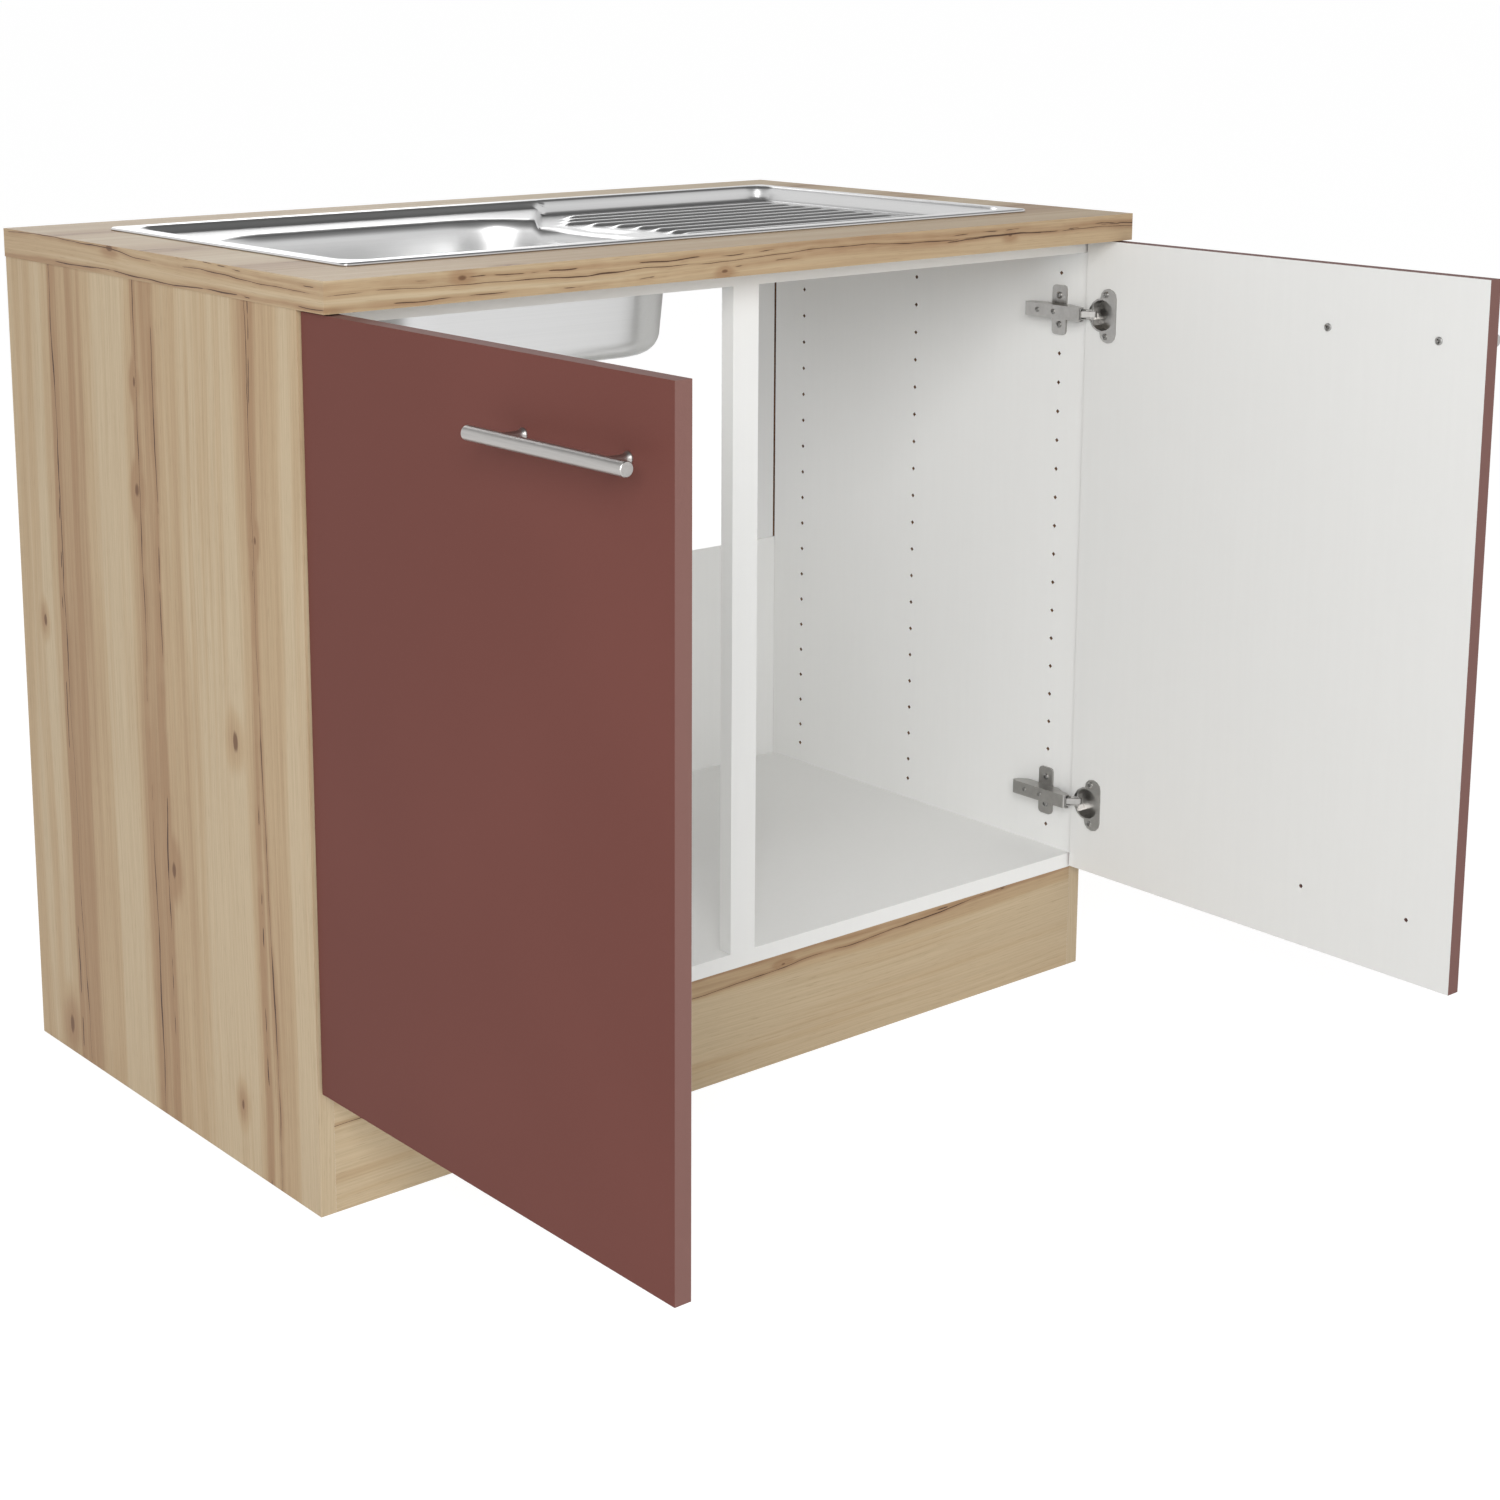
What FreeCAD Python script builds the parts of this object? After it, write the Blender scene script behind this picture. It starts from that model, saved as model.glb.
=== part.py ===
import FreeCAD, Part
import math
import os
import Sketcher

# Kitchen sink unit: a 1000 mm base cabinet with a worktop, an inset steel sink and two hinged doors.
# X runs to the right, Y to the wall and Z up. The origin is on the floor, in the middle of the width,
# in the front plane of the cabinet. The doors stand open at 90 degrees.

document = FreeCAD.newDocument("SinkUnit")
sheet = document.addObject("Spreadsheet::Sheet", "Sizes")
Vector = FreeCAD.Vector

SIZES = {
    # cabinet boards
    "unit_top": 850,  # floor to the top of the worktop
    "worktop_width": 1000,
    "worktop_depth": 600,
    "worktop_thick": 28,
    "cabinet_width": 998,
    "cabinet_depth": 554,
    "board": 16,
    "plinth_high": 116.5,
    "rail_depth": 62,
    "rear_rail_high": 90,
    "post_width": 32,
    "post_depth": 17,
    "back_thick": 3,
    "back_rise": 278.8,
    "back_inset": 48.5,  # middle of the back panel to the rear edge
    "groove_deep": 6,
    "groove_play": 0.2,
    # shelf-pin holes
    "pin_hole": 5,
    "pin_hole_deep": 10,
    "pin_pitch": 32,
    "pin_rows": 19,
    "pin_first": 180.8,
    "pin_extra": 24,
    "row_front": 37,
    "row_middle": 260,
    "row_rear": 452.5,
    # doors
    "door_width": 497,
    "door_high": 702,
    "door_thick": 16,
    "door_under": 118.5,
    "open_gap": 2.5,  # open door's edge to the cabinet's front
    "open_inset": 3.15,  # open door's inner face past the side panel's inner face
    "spare_hole_deep": 12,
    # handles
    "handle_pitch": 128,
    "handle_edge": 52.6,
    "handle_under_top": 62.3,
    "handle_standoff": 28,
    "spare_hole_rise": 63.1,
    "bar_radius": 6,
    "bar_length": 196,
    "bar_seat": 1.8,
    "post_tip": 3.5,
    "post_foot": 5.5,
    "post_foot_high": 3,
    "screw_shank": 2,
    "screw_head": 4,
    "screw_head_high": 1.8,
    "screw_bite": 9,
    "screw_play": 0.25,
    # concealed hinges
    "hinge_low": 196.8,
    "hinge_high": 740.8,
    "cup_in": 23.5,  # door's edge to the middle of the cup
    "cup_radius": 17.5,
    "cup_wall": 0.9,
    "cup_deep": 11.5,
    "cup_play": 0.1,
    "cup_bore_deep": 12,
    "lip_wide": 1,
    "lip_high": 1.2,
    "wing_near": 21,
    "wing_width": 22,
    "wing_length": 58,
    "wing_corner": 10,
    "cup_screw_in": 28.5,
    "cup_screw_pitch": 45,
    "cup_screw": 1.6,
    "cup_screw_head": 3.4,
    "cup_screw_head_high": 1.3,
    "cup_screw_bite": 8,
    "pin_in": 10,  # door's edge to the outer link's pin in the cup
    "pin_radius": 0.8,
    "pin_play": 0.05,
    "cup_pin_half": 9.5,
    "arm_pin_x": 11.2013,  # side panel's face to the outer link's pin on the arm
    "arm_pin_y": 2.7911,
    "second_pin_x": 14.8,
    "second_pin_y": -4.7,
    "second_in": 13,
    "second_below": 1,
    "eye": 1.7,
    "small_eye": 1.45,
    "eye_play": 0.4,
    "link_thick": 2.1,
    "knee_out": 3.84,
    "knee_along": 6.38,
    "fork_half": 5.2,
    "fork_thick": 1.2,
    "web_far": 6,
    "second_half": 3.2,
    "arm_half": 7.4,
    "arm_sheet": 1,
    "arm_rise": 19,
    "arm_foot_front": 18,
    "arm_foot_rear": 62,
    "arm_rear": 74,
    "nose_half": 2.6,
    "plate_thick": 2.5,
    "plate_near": 27,
    "plate_width": 20,
    "plate_length": 54,
    "plate_corner": 4,
    "plate_rib_half": 5,
    "plate_rib_near": 22,
    "plate_rib_far": 60,
    "plate_rib_rise": 9,
    "plate_screw": 1.8,
    "plate_screw_head": 3.6,
    "plate_screw_head_high": 1.6,
    "plate_screw_bite": 9,
    "arm_screw": 1.7,
    "arm_screw_head": 2.9,
    "arm_screw_head_high": 1.2,
    "arm_screw_front": 31,
    "arm_screw_rear": 54,
    "arm_screw_bite": 5,
    # sink
    "sink_width": 856,
    "sink_depth": 434,
    "sink_corner": 8,
    "sheet_steel": 1,
    "flange_high": 3.5,
    "flange_flat": 16,
    "recess_corner": 24,
    "recess_deep": 13.5,
    "recess_slope": 7,
    "ledge_deep": 5,
    "ledge_right": 88,
    "ledge_tip": -10,
    "ledge_front": 73,
    "bowl_left": -388,
    "bowl_right": 6,
    "bowl_front": -182,
    "bowl_rear": 131,
    "bowl_corner": 85,
    "bowl_bottom": 118,
    "bowl_draft": 9,
    "bowl_round": 22,
    "rib_pitch": 28.2,
    "rib_count": 12,
    "rib_rear": 141,
    "rib_half": 6,
    "rib_high": 2.6,
    "rib_right": 382,
    "cutout_play": 4,
    "seal_thick": 2.3,
    # clamps
    "clamp_width": 18,
    "clamp_sheet": 1.4,
    "clamp_in": 12.4,  # sink's edge to the clamp's upright
    "clamp_spread": 300,
    "clamp_side_spread": 100,
    # waste
    "waste_hole": 45,
    "waste_tube": 42,
    "waste_flange": 56,
    "waste_lip": 1.5,
    "waste_deep": 38,
    "outlet": 18,
    "outlet_wall": 3,
    "outlet_length": 34,
    "gasket_high": 3,
    "nut_high": 9,
    "nut_play": 0.4,
    "basket_radius": 37,
    "basket_wall": 1,
    "basket_deep": 26,
    "basket_taper": 5,
    "plug_radius": 22,
    "plug_high": 4.5,
    "strainer_hole": 2.2,
    "knob_radius": 8,
    "knob_high": 17,
}

for row, (alias, value) in enumerate(SIZES.items(), start=1):
    sheet.set(f"A{row}", alias)
    sheet.set(f"B{row}", str(value))
    sheet.setAlias(f"B{row}", alias)
document.recompute()


# ---- helpers ---------------------------------------------------------------------------------------


def size(expression):
    """An expression on the sheet: bare aliases get the sheet's name."""
    words = []
    for word in expression.replace("(", "( ").replace(")", " )").split():
        words.append("Sizes." + word if word in SIZES else word)
    return " ".join(words)


def number(expression):
    """The present value of an expression."""
    return float(sheet.evalExpression(size(expression)))


def bind(thing, field, expression):
    thing.setExpression(field, size(expression))


def place(thing, x="0", y="0", z="0"):
    for axis, expression in zip("xyz", (x, y, z)):
        bind(thing, f"Placement.Base.{axis}", expression)
    return thing


def new_body(label):
    body = document.addObject("PartDesign::Body", label)
    body.Label = label
    return body


def new_sketch(body, plane, offset="0"):
    """A sketch on one of the body's origin planes, moved along the plane's normal."""
    sketch = body.newObject("Sketcher::SketchObject", "Outline")
    support = next(item for item in body.Origin.OriginFeatures if item.Role == plane)
    sketch.AttachmentSupport = [(support, "")]
    sketch.MapMode = "FlatFace"
    bind(sketch, "AttachmentOffset.Base.z", offset)
    return sketch


def free_sketch(height):
    """A level sketch outside any body, at a height."""
    sketch = document.addObject("Sketcher::SketchObject", "Level")
    bind(sketch, "Placement.Base.z", height)
    return sketch


def hold(sketch, geometry, point, x, y):
    """Ties one point of a sketch to two expressions."""
    for kind, expression in (("DistanceX", x), ("DistanceY", y)):
        index = sketch.addConstraint(Sketcher.Constraint(kind, -1, 1, geometry, point, number(expression)))
        bind(sketch, f"Constraints[{index}]", expression)


def polygon(sketch, corners):
    """A closed outline of straight lines through corners, each a pair of expressions."""
    first = sketch.GeometryCount
    spots = [Vector(number(x), number(y), 0) for x, y in corners]
    count = len(spots)
    for index in range(count):
        sketch.addGeometry(Part.LineSegment(spots[index], spots[(index + 1) % count]), False)
    for index in range(count):
        following = first + (index + 1) % count
        sketch.addConstraint(Sketcher.Constraint("Coincident", first + index, 2, following, 1))
    for index, (x, y) in enumerate(corners):
        hold(sketch, first + index, 1, x, y)


def rectangle(sketch, left, right, low, high):
    polygon(sketch, [(left, low), (right, low), (right, high), (left, high)])


def ring(sketch, x, y, radius, sides):
    """A round outline drawn with straight sides, its corners on the circle, to keep the facets few."""
    corners = []
    for turn in range(sides):
        angle = 2 * math.pi * turn / sides
        corners.append((f"{x} + {radius} * {math.cos(angle):.15f}",
                        f"{y} + {radius} * {math.sin(angle):.15f}"))
    polygon(sketch, corners)


def soft_rectangle(sketch, left, right, low, high, corner, steps):
    """A rectangle whose corners are rounded in a few straight steps."""
    corners = []
    quarters = [(right, "-", low, "+", -90), (right, "-", high, "-", 0),
                (left, "+", high, "-", 90), (left, "+", low, "+", 180)]
    for x, x_sign, y, y_sign, start in quarters:
        for step in range(steps + 1):
            angle = math.radians(start + 90 * step / steps)
            corners.append((f"{x} {x_sign} {corner} + {corner} * {math.cos(angle):.6f}",
                            f"{y} {y_sign} {corner} + {corner} * {math.sin(angle):.6f}"))
    polygon(sketch, corners)


def extrude(body, sketch, length, cut=False, both=False, back=False):
    """Pads or pockets a sketch and makes that the body's tip."""
    kind = "PartDesign::Pocket" if cut else "PartDesign::Pad"
    feature = body.newObject(kind, "Cut" if cut else "Pad")
    feature.Profile = sketch
    bind(feature, "Length", length)
    feature.Midplane = both
    feature.Reversed = back
    body.Tip = feature
    return feature


def box(label, length, width, height, x, y, z):
    """A plain board or block, given by its lowest corner."""
    block = document.addObject("Part::Box", label)
    block.Label = label
    bind(block, "Length", length)
    bind(block, "Width", width)
    bind(block, "Height", height)
    return place(block, x, y, z)


def rod(label, sides, radius, height, x, y, z, axis="z"):
    """A round bar with straight sides, its corners on the circle."""
    bar = document.addObject("Part::Prism", label)
    bar.Label = label
    bar.Polygon = sides
    bind(bar, "Circumradius", radius)
    bind(bar, "Height", height)
    bar.Placement.Rotation = FreeCAD.Rotation(Vector(1, 1, 1), LYING[axis])
    return place(bar, x, y, z)


def pin(radius, height, x, y, z):
    """An upright pin, truly round."""
    shaft = document.addObject("Part::Cylinder", "Pin")
    bind(shaft, "Radius", radius)
    bind(shaft, "Height", height)
    return place(shaft, x, y, z)


def drum(sides, radius, low, high):
    """An upright round block about the origin's axis, between two heights."""
    return rod("Drum", sides, radius, f"{high} - ( {low} )", "0", "0", low)


def joined(label, kind, members):
    """A compound of separate solids, or their fusion."""
    group = document.addObject(kind, label)
    group.Label = label
    if kind == "Part::Compound":
        group.Links = members
    else:
        group.Shapes = members
    return group


def cut(label, base, tool):
    result = document.addObject("Part::Cut", label)
    result.Label = label
    result.Base = base
    result.Tool = tool
    return result


def mirrored(source, label):
    """The same piece on the other side of the cabinet's middle."""
    twin = document.addObject("Part::Mirroring", label)
    twin.Label = label
    twin.Source = source
    twin.Normal = Vector(1, 0, 0)
    return twin


def loft(sections, ruled=True):
    feature = document.addObject("Part::Loft", "Form")
    feature.Sections = sections
    feature.Solid = True
    feature.Ruled = ruled
    return feature


def prism(sketch, length):
    feature = document.addObject("Part::Extrusion", "Prism")
    feature.Base = sketch
    feature.DirMode = "Custom"
    feature.Dir = Vector(0, 0, 1)
    bind(feature, "LengthFwd", length)
    feature.Solid = True
    return feature


pieces = []
SHELF_SIDES = 4
HOLE_SIDES = 6
PIN_SIDES = 8
HEAD_SIDES = 8
POST_SIDES = 12
CUP_SIDES = 16
WASTE_SIDES = 16
SHEET_STEPS = 3
BOWL_STEPS = 5
LYING = {"z": 0, "x": 120, "y": 240}  # turns about the diagonal that lay a Z axis along X or Y


def keep(piece):
    pieces.append(piece)
    return piece


# ---- places that several pieces share ---------------------------------------------------------------

UNDERSIDE = "unit_top - worktop_thick"
HALF = "cabinet_width / 2"
INNER = "( cabinet_width / 2 - board )"
FLOOR_TOP = "( plinth_high + board )"
RAIL_UNDER = "( unit_top - worktop_thick - board )"
WORKTOP_FRONT = "( cabinet_depth - worktop_depth )"
BACK_MIDDLE = "( cabinet_depth - back_inset )"


# ---- cabinet ------------------------------------------------------------------------------------------


def side_panel():
    """Left side panel: pin-hole rows and the back panel's groove on its inner face."""
    body = new_body("side_panel_left")
    face = new_sketch(body, "YZ_Plane")
    rectangle(face, "0", "cabinet_depth", "0", UNDERSIDE)
    extrude(body, face, "board")
    groove = new_sketch(body, "YZ_Plane", "board")
    rectangle(groove, f"{BACK_MIDDLE} - back_thick / 2 - groove_play",
              f"{BACK_MIDDLE} + back_thick / 2 + groove_play",
              f"{FLOOR_TOP} - groove_deep", UNDERSIDE)
    extrude(body, groove, "groove_deep", cut=True)
    for row_place in ("row_front", "row_middle", "row_rear"):
        column = new_sketch(body, "YZ_Plane", "board")
        pin_hole(column, row_place, "pin_first")
        drill = extrude(body, column, "pin_hole_deep", cut=True)
        pattern = body.newObject("PartDesign::LinearPattern", "PinHoles")
        pattern.Originals = [drill]
        pattern.Direction = (column, ["V_Axis"])
        bind(pattern, "Length", "pin_pitch * ( pin_rows - 1 )")
        bind(pattern, "Occurrences", "pin_rows")
        body.Tip = pattern
        ends = new_sketch(body, "YZ_Plane", "board")
        pin_hole(ends, row_place, "pin_first - pin_extra")
        pin_hole(ends, row_place, "pin_first + pin_pitch * ( pin_rows - 1 ) + pin_extra")
        extrude(body, ends, "pin_hole_deep", cut=True)
    return place(body, f"0 - {HALF}")


def pin_hole(sketch, y, z):
    ring(sketch, y, z, "pin_hole / 2", SHELF_SIDES)


left_side = keep(side_panel())
keep(mirrored(left_side, "side_panel_right"))

keep(box("plinth_board", f"2 * {INNER}", "board", "plinth_high", f"0 - {INNER}", "0", "0"))
keep(box("front_rail", f"2 * {INNER}", "rail_depth", "board", f"0 - {INNER}", "0", RAIL_UNDER))
keep(box("rear_rail", f"2 * {INNER}", "board", "rear_rail_high",
         f"0 - {INNER}", "cabinet_depth - board", f"{UNDERSIDE} - rear_rail_high"))
keep(box("centre_post", "post_width", "post_depth", f"{RAIL_UNDER} - {FLOOR_TOP}",
         "0 - post_width / 2", "0", FLOOR_TOP))
keep(box("back_panel", f"2 * ( {INNER} + groove_deep - groove_play )", "back_thick",
         "back_rise + groove_deep - groove_play", f"0 - {INNER} - groove_deep + groove_play",
         f"{BACK_MIDDLE} - back_thick / 2", f"{FLOOR_TOP} - groove_deep + groove_play"))

bottom_blank = box("BottomBlank", f"2 * {INNER}", "cabinet_depth", "board",
                   f"0 - {INNER}", "0", "plinth_high")
bottom_groove = box("BottomGroove", "cabinet_width", "back_thick + 2 * groove_play", "groove_deep + board",
                    f"0 - {HALF}", f"{BACK_MIDDLE} - back_thick / 2 - groove_play",
                    f"{FLOOR_TOP} - groove_deep")
keep(cut("bottom_panel", bottom_blank, bottom_groove))


def worktop():
    """Worktop with the cut-out that the sink drops into."""
    body = new_body("worktop")
    slab = new_sketch(body, "XY_Plane")
    rectangle(slab, "0 - worktop_width / 2", "worktop_width / 2", WORKTOP_FRONT, "cabinet_depth")
    extrude(body, slab, "worktop_thick")
    hole = new_sketch(body, "XY_Plane", "worktop_thick")
    half_width = "( sink_width / 2 - flange_flat + cutout_play )"
    half_depth = "( sink_depth / 2 - flange_flat + cutout_play )"
    middle = "( cabinet_depth - worktop_depth / 2 )"
    soft_rectangle(hole, f"0 - {half_width}", half_width, f"{middle} - {half_depth}",
                   f"{middle} + {half_depth}", "recess_corner", SHEET_STEPS)
    extrude(body, hole, "worktop_thick", cut=True)
    return place(body, z=UNDERSIDE)


keep(worktop())


# ---- sink -----------------------------------------------------------------------------------------------

SINK_Y = "cabinet_depth - worktop_depth / 2"


def level_outline(height, left, right, low, high, corner, steps):
    sketch = free_sketch(height)
    soft_rectangle(sketch, left, right, low, high, f"( {corner} )", steps)
    return sketch


def inset_outline(height, inset, corner):
    """A rounded rectangle that lies inside the sink's own outline by an inset."""
    half_width = f"( sink_width / 2 - {inset} )"
    half_depth = f"( sink_depth / 2 - {inset} )"
    return level_outline(height, f"0 - {half_width}", half_width, f"0 - {half_depth}", half_depth, corner,
                         SHEET_STEPS)


def bowl_outline(height, draw_in, corner):
    """The bowl's outline, drawn in from the one at its mouth."""
    return level_outline(height, f"bowl_left + {draw_in}", f"bowl_right - {draw_in}",
                         f"bowl_front + {draw_in}", f"bowl_rear - {draw_in}", corner, BOWL_STEPS)


def ledge_prism(height, length, inset):
    """The tap ledge's block, which runs out past the recess: on the right it ends in a slanted edge."""
    sketch = free_sketch(height)
    reach = "( sink_width / 2 - flange_flat )"
    rear = "( sink_depth / 2 - flange_flat )"
    polygon(sketch, [(f"0 - {reach}", f"ledge_front + {inset}"),
                     (f"ledge_tip - {inset}", f"ledge_front + {inset}"),
                     (f"ledge_right - 1.6 * {inset}", rear), (f"0 - {reach}", rear)])
    return prism(sketch, length)


def rib(index):
    """One pressed rib: a low arch that starts beside the ledge or the bowl and runs to the right."""
    body = new_body(f"Rib{index}")
    y = f"( rib_rear - rib_pitch * {index} )"
    beside_ledge = f"( ledge_right - ( sink_depth / 2 - 23 - {y} ) * 0.83 + 32 )"
    beside_bowl = f"( 62 - ( {y} + 28 ) ^ 2 / 380 )"
    start = f"max( {beside_ledge} ; {beside_bowl} )"
    radius = "( ( rib_half ^ 2 + rib_high ^ 2 ) / ( 2 * rib_high ) )"
    section = new_sketch(body, "YZ_Plane", start)
    middle_y = number(y)
    sagitta = math.asin(number("rib_half") / number(radius))
    centre = Vector(middle_y, number("rib_high") - number(radius), 0)
    ring = Part.Circle(centre, Vector(0, 0, 1), number(radius))
    section.addGeometry(Part.ArcOfCircle(ring, math.pi / 2 - sagitta, math.pi / 2 + sagitta), False)
    foot = [("rib_half", "0"), ("rib_half", "0 - sheet_steel / 2"),
            ("0 - rib_half", "0 - sheet_steel / 2"), ("0 - rib_half", "0")]
    spots = [Vector(middle_y + number(x), number(z), 0) for x, z in foot]
    for start_spot, end_spot in zip(spots[:-1], spots[1:]):
        section.addGeometry(Part.LineSegment(start_spot, end_spot), False)
    joints = [(0, 1, 1, 1), (0, 2, 3, 2), (1, 2, 2, 1), (2, 2, 3, 1)]
    for joint in joints:
        section.addConstraint(Sketcher.Constraint("Coincident", *joint))
    for line, (x, z) in enumerate(foot[:3], start=1):
        hold(section, line, 1, f"{y} + {x}", z)
    hold(section, 3, 2, f"{y} - rib_half", "0")
    held = section.addConstraint(Sketcher.Constraint("Radius", 0, number(radius)))
    bind(section, f"Constraints[{held}]", radius)
    extrude(body, section, f"rib_right - {start}")
    return place(body, z="0 - recess_deep")


def sink():
    """Pressed steel sink: flange, recess, tap ledge, ribbed drainer and bowl, all one sheet thick."""
    floor = "( recess_deep + sheet_steel )"
    flange = prism(inset_outline("0", "0", "sink_corner"), "flange_high")
    hollow_under_flange = prism(inset_outline("0", "sheet_steel", "sink_corner - sheet_steel"),
                                "flange_high - sheet_steel")
    recess_outside = loft([
        inset_outline("flange_high - sheet_steel", "( flange_flat - sheet_steel )",
                      "recess_corner + sheet_steel"),
        inset_outline(f"0 - {floor}", "( flange_flat + recess_slope - sheet_steel )",
                      "recess_corner - recess_slope / 2"),
    ])
    bowl_outside = bowl_form("0 - ledge_deep", "0 - bowl_bottom - sheet_steel", "sheet_steel")
    recess_inside = loft([
        inset_outline("flange_high", "flange_flat", "recess_corner"),
        inset_outline("0 - recess_deep", "( flange_flat + recess_slope )",
                      "recess_corner - recess_slope / 2"),
    ])
    ledge = ledge_prism("0 - recess_deep", "recess_deep - ledge_deep", "0")
    under_ledge = ledge_prism(f"0 - {floor}", "recess_deep - ledge_deep", "sheet_steel")
    bowl_inside = bowl_form("0 - ledge_deep + sheet_steel", "0 - bowl_bottom", "0")
    drain = rod("Drain", WASTE_SIDES, "waste_hole", "3 * sheet_steel",
                DRAIN_X, DRAIN_Y, "0 - bowl_bottom - 2 * sheet_steel")
    rim = cut("Rim", flange, hollow_under_flange)
    pan = joined("Pan", "Part::MultiFuse", [rim, recess_outside])
    open_pan = cut("OpenPan", pan, cut("DrainerSpace", recess_inside, ledge))
    hollow_ledge = cut("HollowLedge", open_pan, under_ledge)
    bowl_below = cut("BowlBelow", bowl_outside, cut("AboveFloor", recess_inside, ledge))
    ribs = [rib(index) for index in range(SIZES["rib_count"])]
    sheet_form = joined("SheetForm", "Part::MultiFuse", [hollow_ledge, bowl_below] + ribs)
    opened = cut("Opened", sheet_form, bowl_inside)
    whole = cut("sink", opened, drain)
    return place(whole, "0", SINK_Y, "unit_top")


def bowl_form(mouth, bottom, sheet):
    """The bowl's block: drafted walls and a rounded foot, grown outwards by a sheet thickness."""
    sections = [bowl_outline(mouth, f"( 0 - {sheet} )", f"bowl_corner + {sheet}")]
    for angle in FOOT_ANGLES:
        rise = 1 - math.sin(math.radians(angle))
        run = 1 - math.cos(math.radians(angle))
        lift = f"( ( bowl_round + {sheet} ) * {rise:.6f} )"
        inward = f"( bowl_draft - {sheet} + ( bowl_round + {sheet} ) * {run:.6f} )"
        sections.append(bowl_outline(f"{bottom} + {lift}", inward, f"bowl_corner - {inward}"))
    return loft(sections)


FOOT_ANGLES = (0, 45, 90)
DRAIN_X = "( ( bowl_left + bowl_right ) / 2 )"
DRAIN_Y = "( ( bowl_front + bowl_rear ) / 2 )"
keep(sink())


def sink_seal():
    """Foam strip that lies in the flange's hollow underside, on the worktop."""
    outer = prism(inset_outline("0", "( sheet_steel + 0.5 )", "sink_corner - sheet_steel"), "seal_thick")
    inner = prism(inset_outline("0 - 1", "( flange_flat - cutout_play - 1 )", "recess_corner"),
                  "seal_thick + 2")
    return place(cut("sink_seal", outer, inner), "0", SINK_Y, "unit_top")


keep(sink_seal())


# ---- sink clamps ------------------------------------------------------------------------------------


def clamp(x, y, along_x, sign):
    """A bent strip: its upright hangs from the sink's flange and its foot grips the worktop from below."""
    high = "( worktop_thick + flange_high - sheet_steel + clamp_sheet )"
    low = f"{UNDERSIDE} - clamp_sheet"
    foot = "( clamp_in + clamp_sheet )"
    if along_x:
        start = x if sign < 0 else f"{x} - clamp_sheet"
        reach = f"{x} - {foot} + clamp_sheet" if sign < 0 else f"{x} - clamp_sheet"
        upright = box("Upright", "clamp_sheet", "clamp_width", high, start, f"{y} - clamp_width / 2", low)
        grip = box("Grip", foot, "clamp_width", "clamp_sheet", reach, f"{y} - clamp_width / 2", low)
    else:
        upright = box("Upright", "clamp_width", "clamp_sheet", high,
                      f"{x} - clamp_width / 2", f"{y} - clamp_sheet", low)
        grip = box("Grip", "clamp_width", foot, "clamp_sheet",
                   f"{x} - clamp_width / 2", f"{y} - clamp_sheet", low)
    return joined("Clamp", "Part::MultiFuse", [upright, grip])


def sink_clamps():
    side = "( sink_width / 2 - clamp_in )"
    rear = f"( {SINK_Y} + sink_depth / 2 - clamp_in )"
    clamps = [clamp(spot, rear, False, 1) for spot in ("0 - clamp_spread", "0", "clamp_spread")]
    for step in ("-", "+"):
        y = f"( {SINK_Y} {step} clamp_side_spread )"
        clamps.append(clamp(f"( 0 - {side} )", y, True, -1))
        clamps.append(clamp(side, y, True, 1))
    return joined("sink_clamps", "Part::Compound", clamps)


keep(sink_clamps())

# ---- waste set --------------------------------------------------------------------------------------

BOWL_FLOOR = "( unit_top - bowl_bottom )"
WASTE_Y = f"( {SINK_Y} + {DRAIN_Y} )"


def turned(label, height, solids, hollows):
    """A round piece on the drain's axis: solids joined, hollows cut out."""
    whole = joined("Solids", "Part::MultiFuse", solids) if len(solids) > 1 else solids[0]
    space = joined("Hollows", "Part::MultiFuse", hollows) if len(hollows) > 1 else hollows[0]
    return place(cut(label, whole, space), DRAIN_X, WASTE_Y, height)


BORE = "( waste_tube - waste_lip )"
keep(turned("waste_flange", BOWL_FLOOR, [
    drum(WASTE_SIDES, "waste_tube", "0 - waste_deep", "waste_lip / 3"),
    drum(WASTE_SIDES, "waste_flange", "0", "waste_lip / 3"),
    drum(WASTE_SIDES, "waste_flange - 3", "waste_lip / 3", "waste_lip"),
], [
    drum(WASTE_SIDES, BORE, "waste_lip - waste_deep", "waste_lip + 1"),
    drum(WASTE_SIDES, "outlet", "0 - waste_deep - 1", "0"),
]))
keep(turned("waste_gasket", f"{BOWL_FLOOR} - sheet_steel - gasket_high", [
    drum(WASTE_SIDES, "waste_flange", "0", "gasket_high"),
], [
    drum(WASTE_SIDES, "waste_hole", "0 - 1", "gasket_high + 1"),
]))
keep(turned("waste_nut", f"{BOWL_FLOOR} - sheet_steel - gasket_high - nut_high", [
    drum(WASTE_SIDES, "waste_flange - 3", "0", "nut_high / 3"),
    drum(WASTE_SIDES, "waste_flange", "nut_high / 3", "nut_high"),
], [
    drum(WASTE_SIDES, "waste_tube + nut_play", "0 - 1", "nut_high + 1"),
]))
keep(turned("waste_outlet", f"{BOWL_FLOOR} - waste_deep - outlet_length", [
    drum(WASTE_SIDES, "outlet + outlet_wall", "0", "outlet_length"),
], [
    drum(WASTE_SIDES, "outlet", "0 - 1", "outlet_length + 1"),
]))


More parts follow.
